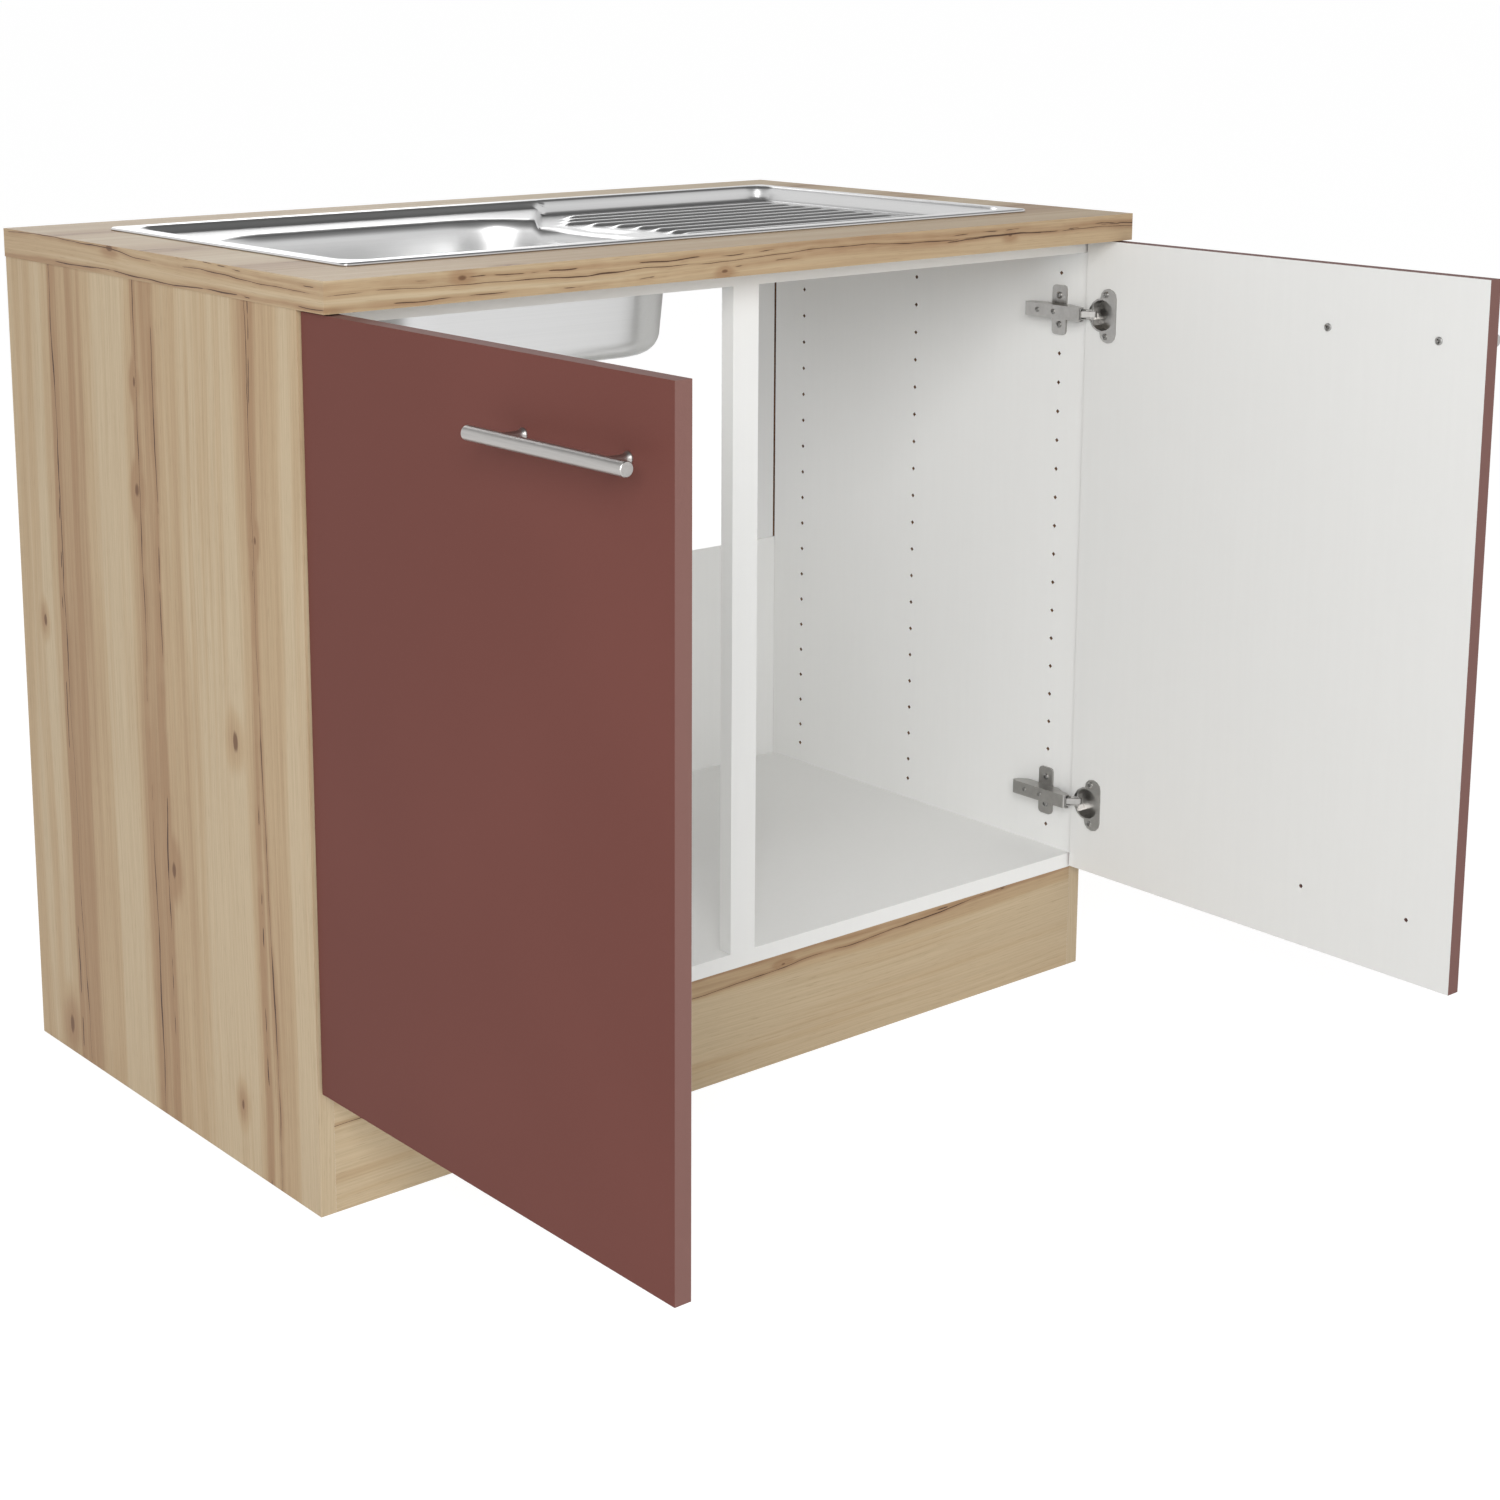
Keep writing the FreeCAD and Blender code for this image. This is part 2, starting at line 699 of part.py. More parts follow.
def waste_basket():
    """Lift-out strainer: a cup with drain holes, a plug below and a knob to lift it by."""
    floor = "( plug_high + basket_wall )"
    top = "( plug_high + basket_deep )"
    low = "( basket_radius - basket_taper )"
    outside = [drum(WASTE_SIDES, low, "plug_high", top),
               drum(WASTE_SIDES, "basket_radius", f"{top} - basket_wall", top)]
    shell = cut("Shell", joined("Outside", "Part::MultiFuse", outside),
                drum(WASTE_SIDES, f"{low} - basket_wall", floor, f"{top} + 1"))
    ring_radius = number(f"( plug_radius + {low} - basket_wall ) / 2")
    holes = []
    for turn in range(6):
        angle = math.radians(60 * turn)
        holes.append(rod("Hole", 6, "strainer_hole", "2 * plug_high", f"{ring_radius * math.cos(angle):.6f}",
                         f"{ring_radius * math.sin(angle):.6f}", "plug_high / 2"))
    return turned("waste_basket", f"{BOWL_FLOOR} - waste_deep + waste_lip", [
        drum(CUP_SIDES, "plug_radius", "0", "plug_high"), shell,
        drum(HOLE_SIDES, "knob_radius / 2", "plug_high", "knob_high + 1"),
        drum(HEAD_SIDES, "knob_radius", "knob_high", "knob_high + knob_radius / 2"),
    ], holes)


keep(waste_basket())

# ---- doors and handles --------------------------------------------------------------------------------

FACE = f"( open_inset - {INNER} )"
OUTER_FACE = f"( {FACE} - door_thick )"
CUP_Y = "( 0 - open_gap - cup_in )"
CUP_SCREW_Y = "( 0 - open_gap - cup_screw_in )"
HANDLE_Z = "( door_under + door_high - handle_under_top )"
SPARE_Z = "( door_under + spare_hole_rise )"
HANDLE_YS = ("( handle_edge - open_gap - door_width )",
             "( handle_edge + handle_pitch - open_gap - door_width )")
LEVELS = {"lower": "hinge_low", "upper": "hinge_high"}


def door():
    """Left door: a board with blind bores for the hinge cups and through bores for the handle."""
    slab = box("DoorBlank", "door_thick", "door_width", "door_high",
               OUTER_FACE, "0 - open_gap - door_width", "door_under")
    bores = []
    for level in LEVELS.values():
        bores.append(rod("CupBore", CUP_SIDES, "cup_radius + cup_play", "cup_bore_deep + 1",
                         f"{FACE} - cup_bore_deep", CUP_Y, level, axis="x"))
        for side in ("-", "+"):
            bores.append(rod("PilotBore", HOLE_SIDES, "cup_screw + 0.1", "cup_screw_bite + 2",
                             f"{FACE} - cup_screw_bite - 1", CUP_SCREW_Y,
                             f"{level} {side} cup_screw_pitch / 2", axis="x"))
    for y in HANDLE_YS:
        bores.append(rod("HandleBore", HOLE_SIDES, "screw_shank + screw_play", "door_thick + 2",
                         f"{OUTER_FACE} - 1", y, HANDLE_Z, axis="x"))
        bores.append(rod("SpareBore", HOLE_SIDES, "screw_shank + screw_play", "spare_hole_deep + 1",
                         f"{FACE} - spare_hole_deep", y, SPARE_Z, axis="x"))
    return cut("door_left", slab, joined("DoorBores", "Part::Compound", bores))


left_door = keep(door())
keep(mirrored(left_door, "door_right"))

BAR_X = f"( {OUTER_FACE} - handle_standoff )"


def handle():
    """Bar, posts and screws of the left door's handle."""
    start = f"{HANDLE_YS[0]} + handle_pitch / 2 - bar_length / 2"
    bar = rod("Rod", POST_SIDES, "bar_radius", "bar_length", BAR_X, start, HANDLE_Z, axis="y")
    seats, posts, screws = [], [], []
    for y in HANDLE_YS:
        seats.append(rod("Seat", POST_SIDES, "post_tip + 0.1", "2 * bar_seat",
                         f"{BAR_X} + bar_radius - bar_seat", y, HANDLE_Z, axis="x"))
        posts.append(handle_post(y))
        shank = rod("Shank", HOLE_SIDES, "screw_shank", "door_thick + screw_bite",
                    f"{OUTER_FACE} - screw_bite", y, HANDLE_Z, axis="x")
        head = rod("Head", HEAD_SIDES, "screw_head", "screw_head_high", FACE, y, HANDLE_Z, axis="x")
        screws.append(joined("Screw", "Part::MultiFuse", [shank, head]))
    bar = cut("handle_bar_left", bar, joined("Seats", "Part::Compound", seats))
    return (bar, joined("handle_posts_left", "Part::Compound", posts),
            joined("handle_screws_left", "Part::Compound", screws))


def handle_post(y):
    """A turned post: a flared foot on the door and a slim neck up to the bar, bored for its screw."""
    length = "( handle_standoff - bar_radius + bar_seat )"
    whole = joined("PostSolids", "Part::MultiFuse", [
        drum(POST_SIDES, "post_foot", "0", "post_foot_high / 3"),
        drum(POST_SIDES, "( post_foot + post_tip ) / 2", "post_foot_high / 3", "post_foot_high"),
        drum(POST_SIDES, "post_tip", "post_foot_high", length),
    ])
    post = cut("Post", whole, drum(PIN_SIDES, "screw_shank + screw_play", "0 - 1", "screw_bite + 1"))
    post.Placement.Rotation = FreeCAD.Rotation(Vector(0, 0, 1), Vector(-1, 0, 0))
    return place(post, OUTER_FACE, y, HANDLE_Z)


for piece in handle():
    keep(piece)
    keep(mirrored(piece, piece.Label.replace("left", "right")))

# ---- concealed hinges -----------------------------------------------------------------------------------

PIN_X = FACE
PIN_BORE = "( ( pin_radius + pin_play ) / 0.9238 )"
PIN_Y = "( 0 - open_gap - pin_in )"
ARM_PIN_X = f"( arm_pin_x - {INNER} )"
SECOND_X = f"( second_pin_x - {INNER} )"


def hinge_cup(name, level):
    """Round cup with a lip, screw wings and a pin bore across it; its own Z points out of the door."""
    body = new_body(f"hinge_cup_left_{name}")
    hollow = "( cup_radius - cup_wall )"
    shell = new_sketch(body, "XY_Plane", "0 - cup_deep")
    ring(shell, "0", "0", "cup_radius", CUP_SIDES)
    extrude(body, shell, "cup_deep")
    lip = new_sketch(body, "XY_Plane")
    ring(lip, "0", "0", "( cup_radius + lip_wide )", CUP_SIDES)
    extrude(body, lip, "lip_high")
    wings = new_sketch(body, "XY_Plane")
    near = "( cup_in - wing_near )"
    soft_rectangle(wings, "0 - wing_length / 2", "wing_length / 2", f"{near} - wing_width", near,
                   "wing_corner", 3)
    extrude(body, wings, "lip_high")
    opening = new_sketch(body, "XY_Plane", "lip_high")
    ring(opening, "0", "0", hollow, CUP_SIDES)
    extrude(body, opening, "cup_deep + lip_high - cup_wall", cut=True)
    holes = new_sketch(body, "XY_Plane", "lip_high")
    for side in ("0 -", "0 +"):
        ring(holes, f"{side} cup_screw_pitch / 2", "cup_in - cup_screw_in", "( cup_screw + 0.2 )", PIN_SIDES)
    extrude(body, holes, "lip_high", cut=True)
    bore = new_sketch(body, "YZ_Plane")
    ring(bore, "cup_in - pin_in", "0", PIN_BORE, PIN_SIDES)
    extrude(body, bore, "2 * cup_pin_half", cut=True, both=True)
    body.Placement.Rotation = FreeCAD.Rotation(Vector(0, 1, 0), 90)
    return place(body, FACE, CUP_Y, level)


def hinge_arm(name, level):
    """Folded channel over the plate, with a nose that carries both links' pins."""
    body = new_body(f"hinge_arm_left_{name}")
    profile = new_sketch(body, "XY_Plane")
    polygon(profile, [
        ("plate_thick", "arm_foot_front"), ("arm_pin_x - nose_half", "arm_pin_y + nose_half"),
        ("arm_pin_x - nose_half", "arm_pin_y - nose_half"),
        ("second_pin_x - nose_half", "second_pin_y - nose_half"),
        ("second_pin_x + nose_half", "second_pin_y - nose_half"),
        ("arm_rise", "second_pin_y"), ("arm_rise", "arm_rear - 3"), ("arm_rise - 3", "arm_rear"),
        ("arm_rise / 2", "arm_rear - 2"), ("plate_thick", "arm_foot_rear"),
    ])
    extrude(body, profile, "2 * arm_half", both=True)
    channel = new_sketch(body, "XY_Plane")
    rectangle(channel, "0", "arm_rise - arm_sheet", "second_pin_y - 10", "arm_rear + 10")
    extrude(body, channel, "2 * ( arm_half - arm_sheet )", cut=True, both=True)
    pin_holes = new_sketch(body, "XY_Plane")
    ring(pin_holes, "arm_pin_x", "arm_pin_y", PIN_BORE, PIN_SIDES)
    ring(pin_holes, "second_pin_x", "second_pin_y", PIN_BORE, PIN_SIDES)
    extrude(body, pin_holes, "2 * arm_half", cut=True, both=True)
    screw_holes = new_sketch(body, "YZ_Plane", "arm_rise")
    for y in ("arm_screw_front", "arm_screw_rear"):
        ring(screw_holes, y, "0", "( arm_screw + 0.1 )", HOLE_SIDES)
    extrude(body, screw_holes, "2 * arm_sheet", cut=True)
    return place(body, f"0 - {INNER}", "0", level)


def hinge_plate(name, level):
    """Mounting plate: screw wings and a raised rib that the arm sits over."""
    body = new_body(f"hinge_plate_left_{name}")
    wings = new_sketch(body, "YZ_Plane")
    soft_rectangle(wings, "plate_near", "( plate_near + plate_width )", "0 - plate_length / 2",
                   "plate_length / 2", "plate_corner", 2)
    extrude(body, wings, "plate_thick")
    raised = new_sketch(body, "YZ_Plane")
    rectangle(raised, "plate_rib_near", "plate_rib_far", "0 - plate_rib_half", "plate_rib_half")
    extrude(body, raised, "plate_rib_rise")
    screw_holes = new_sketch(body, "YZ_Plane", "plate_thick")
    for side in ("0 -", "0 +"):
        ring(screw_holes, "row_front", f"{side} pin_pitch / 2", "( plate_screw + 0.1 )", HOLE_SIDES)
    extrude(body, screw_holes, "plate_thick", cut=True)
    threads = new_sketch(body, "YZ_Plane", "plate_rib_rise")
    for y in ("arm_screw_front", "arm_screw_rear"):
        ring(threads, y, "0", "( arm_screw + 0.05 )", HOLE_SIDES)
    extrude(body, threads, "arm_screw_bite", cut=True)
    return place(body, f"0 - {INNER}", "0", level)


def outer_link(name, level):
    """Bent link: a fork at the cup, closed by a web and a full-width eye at the arm."""
    body = new_body(f"hinge_link_left_{name}")
    reach = f"sqrt( ( {ARM_PIN_X} - {PIN_X} ) ^ 2 + ( arm_pin_y - {PIN_Y} ) ^ 2 )"
    bar = new_sketch(body, "XY_Plane")
    half = "link_thick / 2"
    polygon(bar, [
        (f"0 - {half}", f"0 - {reach}"), (half, f"0 - {reach}"),
        (f"knee_out + {half}", f"knee_along - {reach}"), (half, "0"),
        (f"0 - {half}", "0"), (f"knee_out - {half}", f"knee_along - {reach}"),
    ])
    extrude(body, bar, "2 * fork_half", both=True)
    for y, width in (("0", "2 * ( arm_half - arm_sheet - eye_play )"), (f"0 - {reach}", "2 * fork_half")):
        end = new_sketch(body, "XY_Plane")
        ring(end, "0", y, "eye", PIN_SIDES)
        extrude(body, end, width, both=True)
    gap = new_sketch(body, "XY_Plane")
    rectangle(gap, "0 - 3 * eye", "knee_out + 3 * eye", f"0 - {reach} - 2 * eye", "0 - web_far")
    extrude(body, gap, "2 * ( fork_half - fork_thick )", cut=True, both=True)
    bores = new_sketch(body, "XY_Plane")
    ring(bores, "0", "0", PIN_BORE, PIN_SIDES)
    ring(bores, "0", f"0 - {reach}", PIN_BORE, PIN_SIDES)
    extrude(body, bores, "2 * arm_half", cut=True, both=True)
    return along(body, ARM_PIN_X, "arm_pin_y", PIN_X, PIN_Y, level)


def second_link(name, level):
    """Straight link inside the fork: a full eye at the arm and a small open eye in the cup."""
    body = new_body(f"hinge_second_link_left_{name}")
    open_x = f"( {FACE} - second_below )"
    open_y = "( 0 - open_gap - second_in )"
    reach = f"sqrt( ( {SECOND_X} - {open_x} ) ^ 2 + ( second_pin_y - {open_y} ) ^ 2 )"
    bar = new_sketch(body, "XY_Plane")
    rectangle(bar, "0 - link_thick / 2", "link_thick / 2", f"0 - {reach}", "0")
    extrude(body, bar, "2 * second_half", both=True)
    for y, radius in (("0", "eye"), (f"0 - {reach}", "small_eye")):
        end = new_sketch(body, "XY_Plane")
        ring(end, "0", y, radius, PIN_SIDES)
        extrude(body, end, "2 * second_half", both=True)
    bores = new_sketch(body, "XY_Plane")
    ring(bores, "0", "0", PIN_BORE, PIN_SIDES)
    ring(bores, "0", f"0 - {reach}", PIN_BORE, PIN_SIDES)
    extrude(body, bores, "2 * second_half", cut=True, both=True)
    return along(body, SECOND_X, "second_pin_y", open_x, open_y, level)


def along(body, x, y, far_x, far_y, level):
    """Puts a link's own origin at one pin and lays its length towards another."""
    angle = math.degrees(math.atan2(number(y) - number(far_y), number(x) - number(far_x)))
    body.Placement.Rotation = FreeCAD.Rotation(Vector(0, 0, 1), angle - 90)
    return place(body, x, y, level)


for name, level in LEVELS.items():
    for maker in (hinge_plate, hinge_arm, hinge_cup, outer_link, second_link):
        piece = keep(maker(name, level))
        keep(mirrored(piece, piece.Label.replace("left", "right")))


def rods(label, spots, half):
    """Upright pins at both hinge levels."""
    members = []
    for level in LEVELS.values():
        for x, y in spots:
            members.append(pin("pin_radius", f"2 * {half}", x, y, f"{level} - {half}"))
    return joined(label, "Part::Compound", members)


def cup_pins():
    """Short pins from the cup's walls into each fork, clear of the second link between them."""
    start = "( second_half + eye_play )"
    members = []
    for level in LEVELS.values():
        for foot in (f"{level} + {start}", f"{level} - cup_pin_half"):
            members.append(pin("pin_radius", f"cup_pin_half - {start}", PIN_X, PIN_Y, foot))
    return joined("cup_pins_left", "Part::Compound", members)


def screw(radius, bite, head, head_high, x, y, z):
    """A screw that points at the side panel or the door, with its head's underside at x."""
    shank = rod("Shank", HOLE_SIDES, radius, bite, f"{x} - {bite}", y, z, axis="x")
    top = rod("Head", HEAD_SIDES, head, head_high, x, y, z, axis="x")
    return joined("Screw", "Part::MultiFuse", [shank, top])


def hinge_screws():
    """Three groups of screws: cups to the door, plates to the side panel, arms to the plates."""
    cups, plates, arms = [], [], []
    for level in LEVELS.values():
        for side in ("-", "+"):
            cups.append(screw("cup_screw", "( cup_screw_bite + lip_high )", "cup_screw_head",
                              "cup_screw_head_high", f"( {FACE} + lip_high )", CUP_SCREW_Y,
                              f"{level} {side} cup_screw_pitch / 2"))
            plates.append(screw("plate_screw", "( plate_screw_bite + plate_thick )", "plate_screw_head",
                                "plate_screw_head_high", f"( plate_thick - {INNER} )", "row_front",
                                f"{level} {side} pin_pitch / 2"))
        for y in ("arm_screw_front", "arm_screw_rear"):
            arms.append(screw("arm_screw", "( arm_rise - plate_rib_rise + arm_screw_bite )",
                              "arm_screw_head", "arm_screw_head_high", f"( arm_rise - {INNER} )", y, level))
    return (joined("cup_screws_left", "Part::Compound", cups),
            joined("plate_screws_left", "Part::Compound", plates),
            joined("arm_screws_left", "Part::Compound", arms))


fixings = [cup_pins(),
           rods("arm_pins_left", [(ARM_PIN_X, "arm_pin_y"), (SECOND_X, "second_pin_y")], "arm_half")]
for piece in fixings + list(hinge_screws()):
    keep(piece)
    keep(mirrored(piece, piece.Label.replace("left", "right")))

# ---- finish -----------------------------------------------------------------------------------------------

document.recompute()
for thing in document.Objects:
    if "Invalid" in thing.State or "Error" in thing.State:
        raise RuntimeError(f"{thing.Label} failed: {thing.State}")
for piece in pieces:
    if piece.Shape.isNull() or not piece.Shape.isValid():
        raise RuntimeError(f"{piece.Label} has no valid shape")

os.makedirs("parts", exist_ok=True)
for piece in pieces:
    piece.Shape.exportStep(f"parts/{piece.Label}.step")
print(len(pieces), "pieces")
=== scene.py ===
import math

import bmesh
import bpy
from mathutils import Matrix, Vector
from mathutils.geometry import delaunay_2d_cdt


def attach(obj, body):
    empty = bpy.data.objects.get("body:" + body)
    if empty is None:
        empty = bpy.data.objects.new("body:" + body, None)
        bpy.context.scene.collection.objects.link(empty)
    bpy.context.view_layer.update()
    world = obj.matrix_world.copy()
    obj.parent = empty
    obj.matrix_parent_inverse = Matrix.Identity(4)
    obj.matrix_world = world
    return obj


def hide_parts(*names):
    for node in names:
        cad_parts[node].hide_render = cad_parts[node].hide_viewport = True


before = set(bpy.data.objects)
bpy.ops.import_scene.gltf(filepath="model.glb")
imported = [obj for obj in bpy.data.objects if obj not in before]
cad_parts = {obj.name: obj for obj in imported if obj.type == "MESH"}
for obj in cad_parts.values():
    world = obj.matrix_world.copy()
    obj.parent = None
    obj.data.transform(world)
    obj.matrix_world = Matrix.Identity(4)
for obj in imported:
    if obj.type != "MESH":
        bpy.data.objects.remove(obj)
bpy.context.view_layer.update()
scene = bpy.context.scene
scene.view_settings.view_transform = "Standard"

# ---- node helpers ------------------------------------------------------------------------------------


class Shade:
    """One procedural material and the nodes in it."""

    def __init__(self, name):
        self.material = bpy.data.materials.new(name)
        self.material.use_nodes = True
        self.tree = self.material.node_tree
        self.tree.nodes.clear()
        self.place = self.add("ShaderNodeTexCoord").outputs["Object"]

    @classmethod
    def of(cls, tree):
        """The same helpers on the node tree of a world."""
        made = cls.__new__(cls)
        made.tree = tree
        return made

    def add(self, kind, inputs=(), **settings):
        """A node with its inputs set or linked; inputs maps a socket's name or number to a value or a socket."""
        new = self.tree.nodes.new(kind)
        for key, value in settings.items():
            setattr(new, key, value)
        for key, value in dict(inputs).items():
            if isinstance(value, bpy.types.NodeSocket):
                self.tree.links.new(value, new.inputs[key])
            else:
                new.inputs[key].default_value = value
        return new

    def math(self, operation, first, second=0.0, third=0.0):
        """One sum on up to three values."""
        return self.add("ShaderNodeMath", {0: first, 1: second, 2: third}, operation=operation).outputs[0]

    def step(self, value, low, high, out_low=0.0, out_high=1.0):
        """A smooth step from one value to another as the input goes from low to high."""
        return self.add("ShaderNodeMapRange", {"Value": value, "From Min": low, "From Max": high,
                                               "To Min": out_low, "To Max": out_high},
                        interpolation_type="SMOOTHSTEP").outputs["Result"]

    def step_flat(self, value, low, high):
        """A straight, clamped share of the way between two values."""
        return self.add("ShaderNodeMapRange", {"Value": value, "From Min": low, "From Max": high}).outputs["Result"]

    def scaled(self, scale, offset=(0, 0, 0), source=None):
        """A place, scaled and moved."""
        return self.add("ShaderNodeMapping", {"Vector": source or self.place, "Location": offset,
                                              "Scale": scale}).outputs["Vector"]

    def noise(self, scale, offset=(0, 0, 0), detail=2.0, rough=0.5, source=None):
        """Noise with its own number of waves per metre along each axis."""
        vector = self.scaled(scale, offset, source)
        return self.add("ShaderNodeTexNoise", {"Vector": vector, "Scale": 1.0, "Detail": detail,
                                               "Roughness": rough}).outputs["Fac"]

    def mix(self, factor, first, second, blend="MIX"):
        """Two colours mixed or blended."""
        return self.add("ShaderNodeMix", {0: factor, 6: first, 7: second},
                        data_type="RGBA", blend_type=blend).outputs[2]

    def axes(self, source=None):
        """The X, Y and Z of a vector, or of the place on the object."""
        return tuple(self.add("ShaderNodeSeparateXYZ", {0: source or self.place}).outputs)

    def bump(self, height, strength, distance):
        """A normal bent by a height."""
        return self.add("ShaderNodeBump", {"Height": height, "Strength": strength,
                                           "Distance": distance}).outputs["Normal"]

    def finish(self, **inputs):
        """The surface shader and the output; input names have spaces for underscores."""
        surface = self.add("ShaderNodeBsdfPrincipled",
                           {key.replace("_", " "): value for key, value in inputs.items()})
        self.add("ShaderNodeOutputMaterial", {"Surface": surface.outputs[0]})
        return self.material


def rgb(red, green, blue):
    """A colour given as it is seen, 0 to 255, as linear light."""
    values = []
    for part in (red, green, blue):
        part /= 255
        values.append(part / 12.92 if part <= 0.04045 else ((part + 0.055) / 1.055) ** 2.4)
    return (*values, 1.0)


# ---- materials ---------------------------------------------------------------------------------------

# Places are in metres. A share is one of dark heartwood.
OAK_LIGHT, OAK_MIDDLE, OAK_DARK = rgb(196, 177, 147), rgb(186, 162, 129), rgb(164, 133, 101)
CRACK_COLOUR, KNOT_COLOUR = rgb(74, 50, 34), rgb(104, 72, 48)
FINE_GRAIN, PORE_GRAIN = rgb(205, 196, 184), rgb(178, 160, 140)
SLOW_SWAY, QUICK_SWAY = 0.030, 0.010
CLOUD_SHARE = (-0.16, 0.16)
STRIP_SHARE = (-0.22, 0.24)
GATE_LOW, GATE_HIGH, GATE_FALL = 0.62, 0.66, 0.26
CRACK_THIN, CRACK_WIDE = 0.00022, 0.00095
HALO_REACH, HALO_SHARE = 0.009, 0.62
KNOT_STRETCH = 0.45
BOARD_SHINE = 0.35
GRAIN_BUMP = (0.2, 0.0003)


def grain_only(shade, grain):
    """A place that changes along the grain alone."""
    return shade.add("ShaderNodeCombineXYZ", {0: grain}).outputs[0]


def place_on(shade, grain, across):
    """A place from one along the grain and one across it."""
    return shade.add("ShaderNodeCombineXYZ", {0: grain, 1: across}).outputs[0]


def oak_place(shade, grain, across, sway):
    """Grain coordinates with a slow sway, the place across with that sway, and with a quick one too."""
    place = place_on(shade, grain, across)
    slow = shade.math("SUBTRACT", shade.noise((1.5, 5, 1), (sway, 2, 3), 1.5, source=place), 0.5)
    quick = shade.math("SUBTRACT", shade.noise((9, 28, 1), (sway, 7, 1), 2.5, source=place), 0.5)
    swayed = shade.math("MULTIPLY_ADD", slow, SLOW_SWAY, across)
    bent = shade.math("MULTIPLY_ADD", quick, QUICK_SWAY, swayed)
    return place_on(shade, grain, swayed), swayed, bent


def bands(shade, across, stops):
    """Share across the boards from pairs of a place and a share."""
    low, high = stops[0][0], stops[-1][0]
    ramp = shade.add("ShaderNodeValToRGB", {0: shade.step_flat(across, low, high)})
    line = ramp.color_ramp
    while len(line.elements) < len(stops):
        line.elements.new(0.5)
    for element, (place, share) in zip(line.elements, stops):
        element.position = (place - low) / (high - low)
        element.color = (share, share, share, 1)
    return ramp.outputs[0]


def oak_tone(shade, grain, across, stops, cracks, knots, seed, wave=1.0, thick=1.0):
    """Colour and height of the oak decor.

    Cracks are (place across, slant, share shown, seed); knots are (place along, place across, radius).
    wave scales the dark halo beside the cracks, and thick scales their widest part."""
    flat, swayed, bent = oak_place(shade, grain, across, seed)
    share = bands(shade, swayed, stops)
    cloud = shade.noise((2.2, 16, 1), (seed, 5, 1), 2.0, source=flat)
    strips = shade.noise((0.9, 62, 1), (seed + 3, 1, 7), 3.0, 0.62, source=flat)
    share = shade.math("ADD", share, shade.step(cloud, 0.3, 0.7, *CLOUD_SHARE))
    share = shade.math("ADD", share, shade.step(strips, 0.3, 0.7, *STRIP_SHARE))
    along_grain, bent_place = grain_only(shade, grain), place_on(shade, grain, bent)
    halo, line, spot = 0.0, 0.0, 0.0
    for place, slant, shown, number in cracks:
        path = shade.math("MULTIPLY_ADD", grain, slant, bent)
        off = shade.math("ABSOLUTE", shade.math("SUBTRACT", path, place))
        where = shade.noise((5.5, 1, 1), (number, number, 0), 3.0, 0.65, source=along_grain)
        broken = shade.noise((34, 1, 1), (number + 2, number, 0), 2.0, source=along_grain)
        where = shade.math("MULTIPLY_ADD", shade.math("SUBTRACT", broken, 0.5), 0.35, where)
        gate = shade.step(where, GATE_LOW - shown * GATE_FALL, GATE_HIGH - shown * GATE_FALL)
        width = shade.step(where, 0.42, 0.78, CRACK_THIN, CRACK_WIDE * thick)
        inside = shade.math("MULTIPLY", gate, shade.math("LESS_THAN", off, width))
        around = shade.math("MULTIPLY", shade.step(where, 0.25, 0.6, 0.35, 1.0),
                            shade.step(off, 0.0, HALO_REACH * wave, HALO_SHARE, 0.0))
        line = shade.math("MAXIMUM", line, inside)
        halo = shade.math("MAXIMUM", halo, around)
    for along, place, radius in knots:
        near = shade.scaled((KNOT_STRETCH / radius, 1 / radius, 1),
                            (-along / radius * KNOT_STRETCH, -place / radius, 0), bent_place)
        far = shade.add("ShaderNodeVectorMath", {0: near}, operation="LENGTH").outputs["Value"]
        ripple = shade.math("MULTIPLY_ADD", strips, 1.6, shade.math("SUBTRACT", far, 0.8))
        halo = shade.math("MAXIMUM", halo, shade.step(ripple, 0.5, 4.2, 0.85, 0.0))
        spot = shade.math("MAXIMUM", spot, shade.step(ripple, 0.35, 0.85, 0.9, 0.0))
    share = shade.math("ADD", share, halo)
    tone = shade.mix(shade.step(share, 0.0, 0.5), OAK_LIGHT, OAK_MIDDLE)
    tone = shade.mix(shade.step(share, 0.4, 1.15), tone, OAK_DARK)
    fine = shade.noise((7, 520, 1), (seed, 0, 0), 3.0, 0.6, source=flat)
    pores = shade.noise((38, 1150, 1), (seed, 3, 0), 2.0, 0.6, source=flat)
    tone = shade.mix(shade.step(fine, 0.3, 0.75, 0.0, 0.34), tone,
                     shade.mix(1.0, tone, FINE_GRAIN, "MULTIPLY"))
    tone = shade.mix(shade.step(pores, 0.56, 0.78, 0.0, 0.42), tone,
                     shade.mix(1.0, tone, PORE_GRAIN, "MULTIPLY"))
    tone = shade.mix(spot, tone, KNOT_COLOUR)
    tone = shade.mix(line, tone, CRACK_COLOUR)
    height = shade.math("SUBTRACT", shade.math("MULTIPLY", fine, 0.4), line)
    return tone, height


